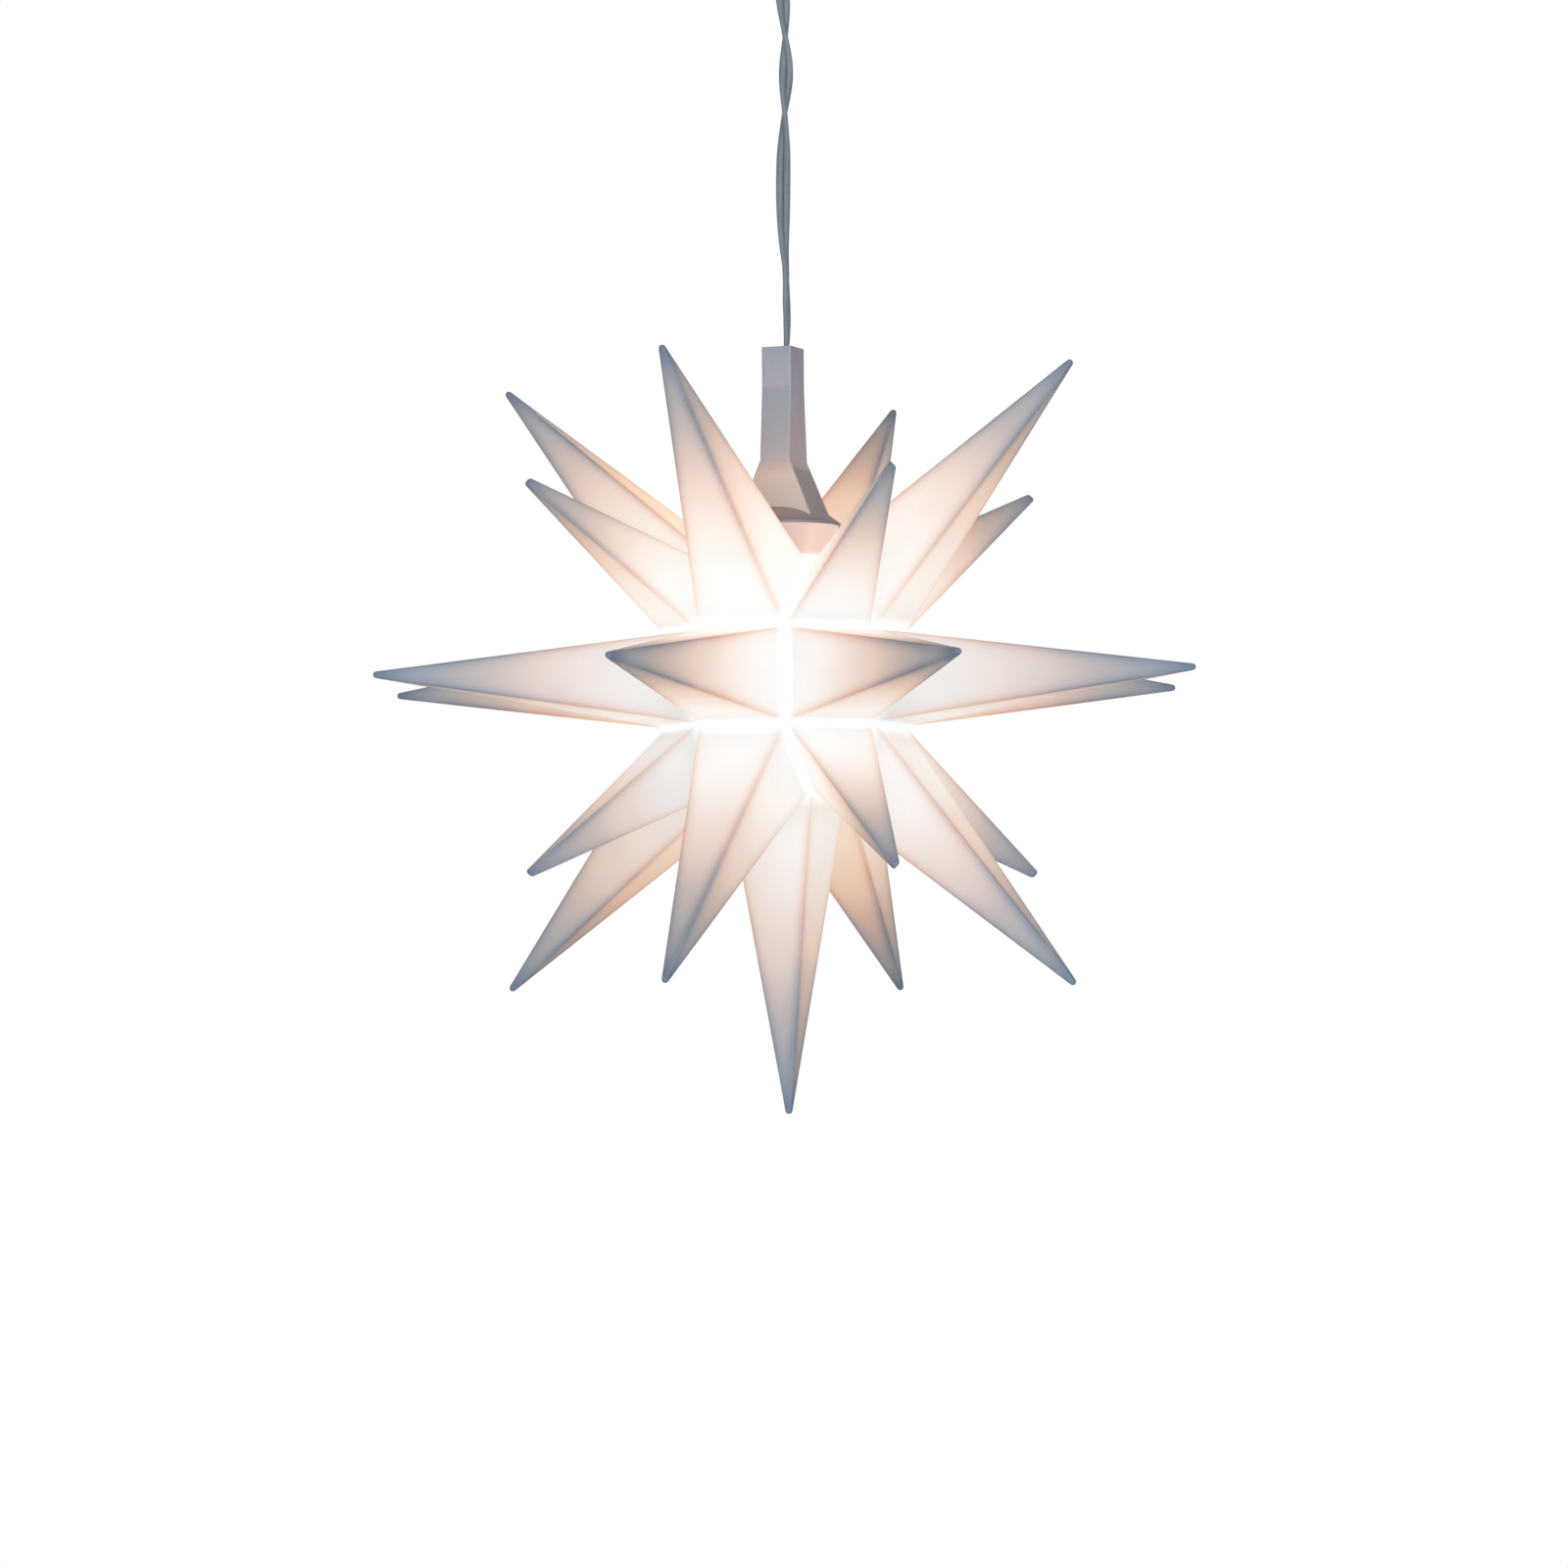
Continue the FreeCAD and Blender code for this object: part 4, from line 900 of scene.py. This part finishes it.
brass = metal("brass_rolled_and_stamped", "B8944C", "CCAA5C", 0.28, 0.42, 0.2, (1, 1, 0.15))[0]
for node in ("contact_left", "contact_right", "terminal_inserts"):
    dress(node, brass)
screw_steel = metal("steel_zinc_plated_screws", "A3A4A5", "B8B9BB", 0.25, 0.40, 0.25, (1, 1, 0.3))[0]
for node in ("cup_screws", "grip_screw", "terminal_screws"):
    dress(node, screw_steel)
dress("cord_stop", metal("steel_crimped_and_plated", "9FA0A1", "B2B3B4", 0.30, 0.48, 0.2, (1, 1, 0.2))[0])
dress("lamp_pins", metal("wire_tinned_drawn", "AEB0B1", "C2C3C4", 0.25, 0.38, 0.12, (1, 1, 0.1))[0])
metals = [m.name for m in bpy.data.materials if m.name.startswith(("brass", "steel", "wire"))]
print("metal finishes:", metals)

# %% [markdown]
# ## Ceiling plate: zinc-plated steel sheet
#
# Hot-dipped zinc freezes in flat crystals a few millimetres across, each with its own shine, which the eye
# reads as spangle.  A Voronoi texture gives every cell one value, and that value shifts both the colour and
# the roughness.

# %% Ceiling plate
SPANGLE_MM = 4.0
plate_finish, plate = metal("steel_sheet_zinc_dipped", "9DA0A2", "AEB1B3", 0.32, 0.45, 0.3, (1, 0.2, 1))
tree = plate_finish.node_tree
place = add_node(tree, "ShaderNodeTexCoord")
crystals = add_node(tree, "ShaderNodeTexVoronoi", {"Vector": place.outputs["Object"]},
                    Scale=PER_METRE / SPANGLE_MM)
one_value = add_node(tree, "ShaderNodeSeparateColor", {0: crystals.outputs["Color"]})
spangle = add_node(tree, "ShaderNodeValToRGB", {"Fac": one_value.outputs[0]},
                   stops=[(0.0, "A2A5A7"), (1.0, "ACAFB1")])
tree.links.new(spangle.outputs["Color"], plate.inputs["Base Color"])
shine = add_node(tree, "ShaderNodeMapRange", {"Value": one_value.outputs[0], "To Min": 0.34, "To Max": 0.42})
tree.links.new(shine.outputs[0], plate.inputs["Roughness"])
dress("ceiling_plate", plate_finish)
print("spangle cell, mm:", SPANGLE_MM)

# %% [markdown]
# ## Canopy: powder-coated cup
#
# The little cup against the ceiling is spun steel with a white powder coat.  Powder melts into a skin with a
# gentle orange peel, about a millimetre from hump to hump.  The colour is a shade greyer at the cup's bottom
# and along its top rim.

# %% Canopy cup
canopy_finish, canopy = plastic("steel_spun_powder_coated_white", "E2E2E0", 0.35, specular=0.45, ior=1.5)
tree = canopy_finish.node_tree
rough_skin(tree, canopy, size_mm=1.1, depth_mm=0.03, low=0.30, high=0.42)
cup_low, cup_high = ((corner[2] - STAR.z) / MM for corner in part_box("canopy_cup"))
COAT = [(cup_low, "D6D6D4"), (cup_low + 0.8, "E0E0DE"), (cup_low + 2.5, "E3E3E1"), (cup_high - 1.0, "E3E3E1"),
        (cup_high, "D2D2CF")]
coat = add_node(tree, "ShaderNodeHueSaturation", {"Color": colour_by_height(tree, cup_low, cup_high, COAT),
                                                  "Value": uneven(tree, size_mm=6.0, low=0.985, high=1.015)})
tree.links.new(coat.outputs["Color"], canopy.inputs["Base Color"])
dress("canopy_cup", canopy_finish)
print("cup height, mm:", round(cup_high - cup_low, 1))

# %% [markdown]
# ## Lamp: lens and emitter
#
# The lamp is a small LED capsule.  Its emitter is a bright strip under a clear lens, and both are alight.
# They are hidden in the star until it is pulled off, so a plain glow is enough: the emitter gives warm white
# light, and the lens is clear acrylic with a milky haze that carries a little of it.

# %% Lamp emitter
emitter_finish, emitter = metal("aluminium_bright_anodised", "CDCCC6", "DCDBD4", 0.20, 0.32, 0.15,
                                (1, 1, 0.3))
emitter.inputs["Emission Color"].default_value = linear("FFE2B8")
tree = emitter_finish.node_tree
tree.links.new(uneven(tree, size_mm=0.8, low=1.2, high=1.7), emitter.inputs["Emission Strength"])
dress("lamp_emitter", emitter_finish)
print("emitter nodes:", len(tree.nodes))

# %% Lamp lens
lens_finish, lens = plastic("acrylic_clear_moulded_lens", "F6F1E4", 0.08, specular=0.5, ior=1.49)
tree = lens_finish.node_tree
lens.inputs["Transmission Weight"].default_value = 0.85
lens.inputs["Emission Color"].default_value = linear("FFEFD6")
tree.links.new(uneven(tree, size_mm=1.2, low=0.40, high=0.55), lens.inputs["Emission Strength"])
rough_skin(tree, lens, size_mm=0.5, depth_mm=0.008, low=0.05, high=0.14)
dress("lamp_dome", lens_finish)
print("materials:", len([m for m in bpy.data.materials if m.users]))

# %% Nodes that have no finish
bare = [name for name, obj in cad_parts.items()
        if not obj.hide_render and not (obj.data.materials and obj.data.materials[0].use_nodes)]
print("nodes with no finish:", bare)
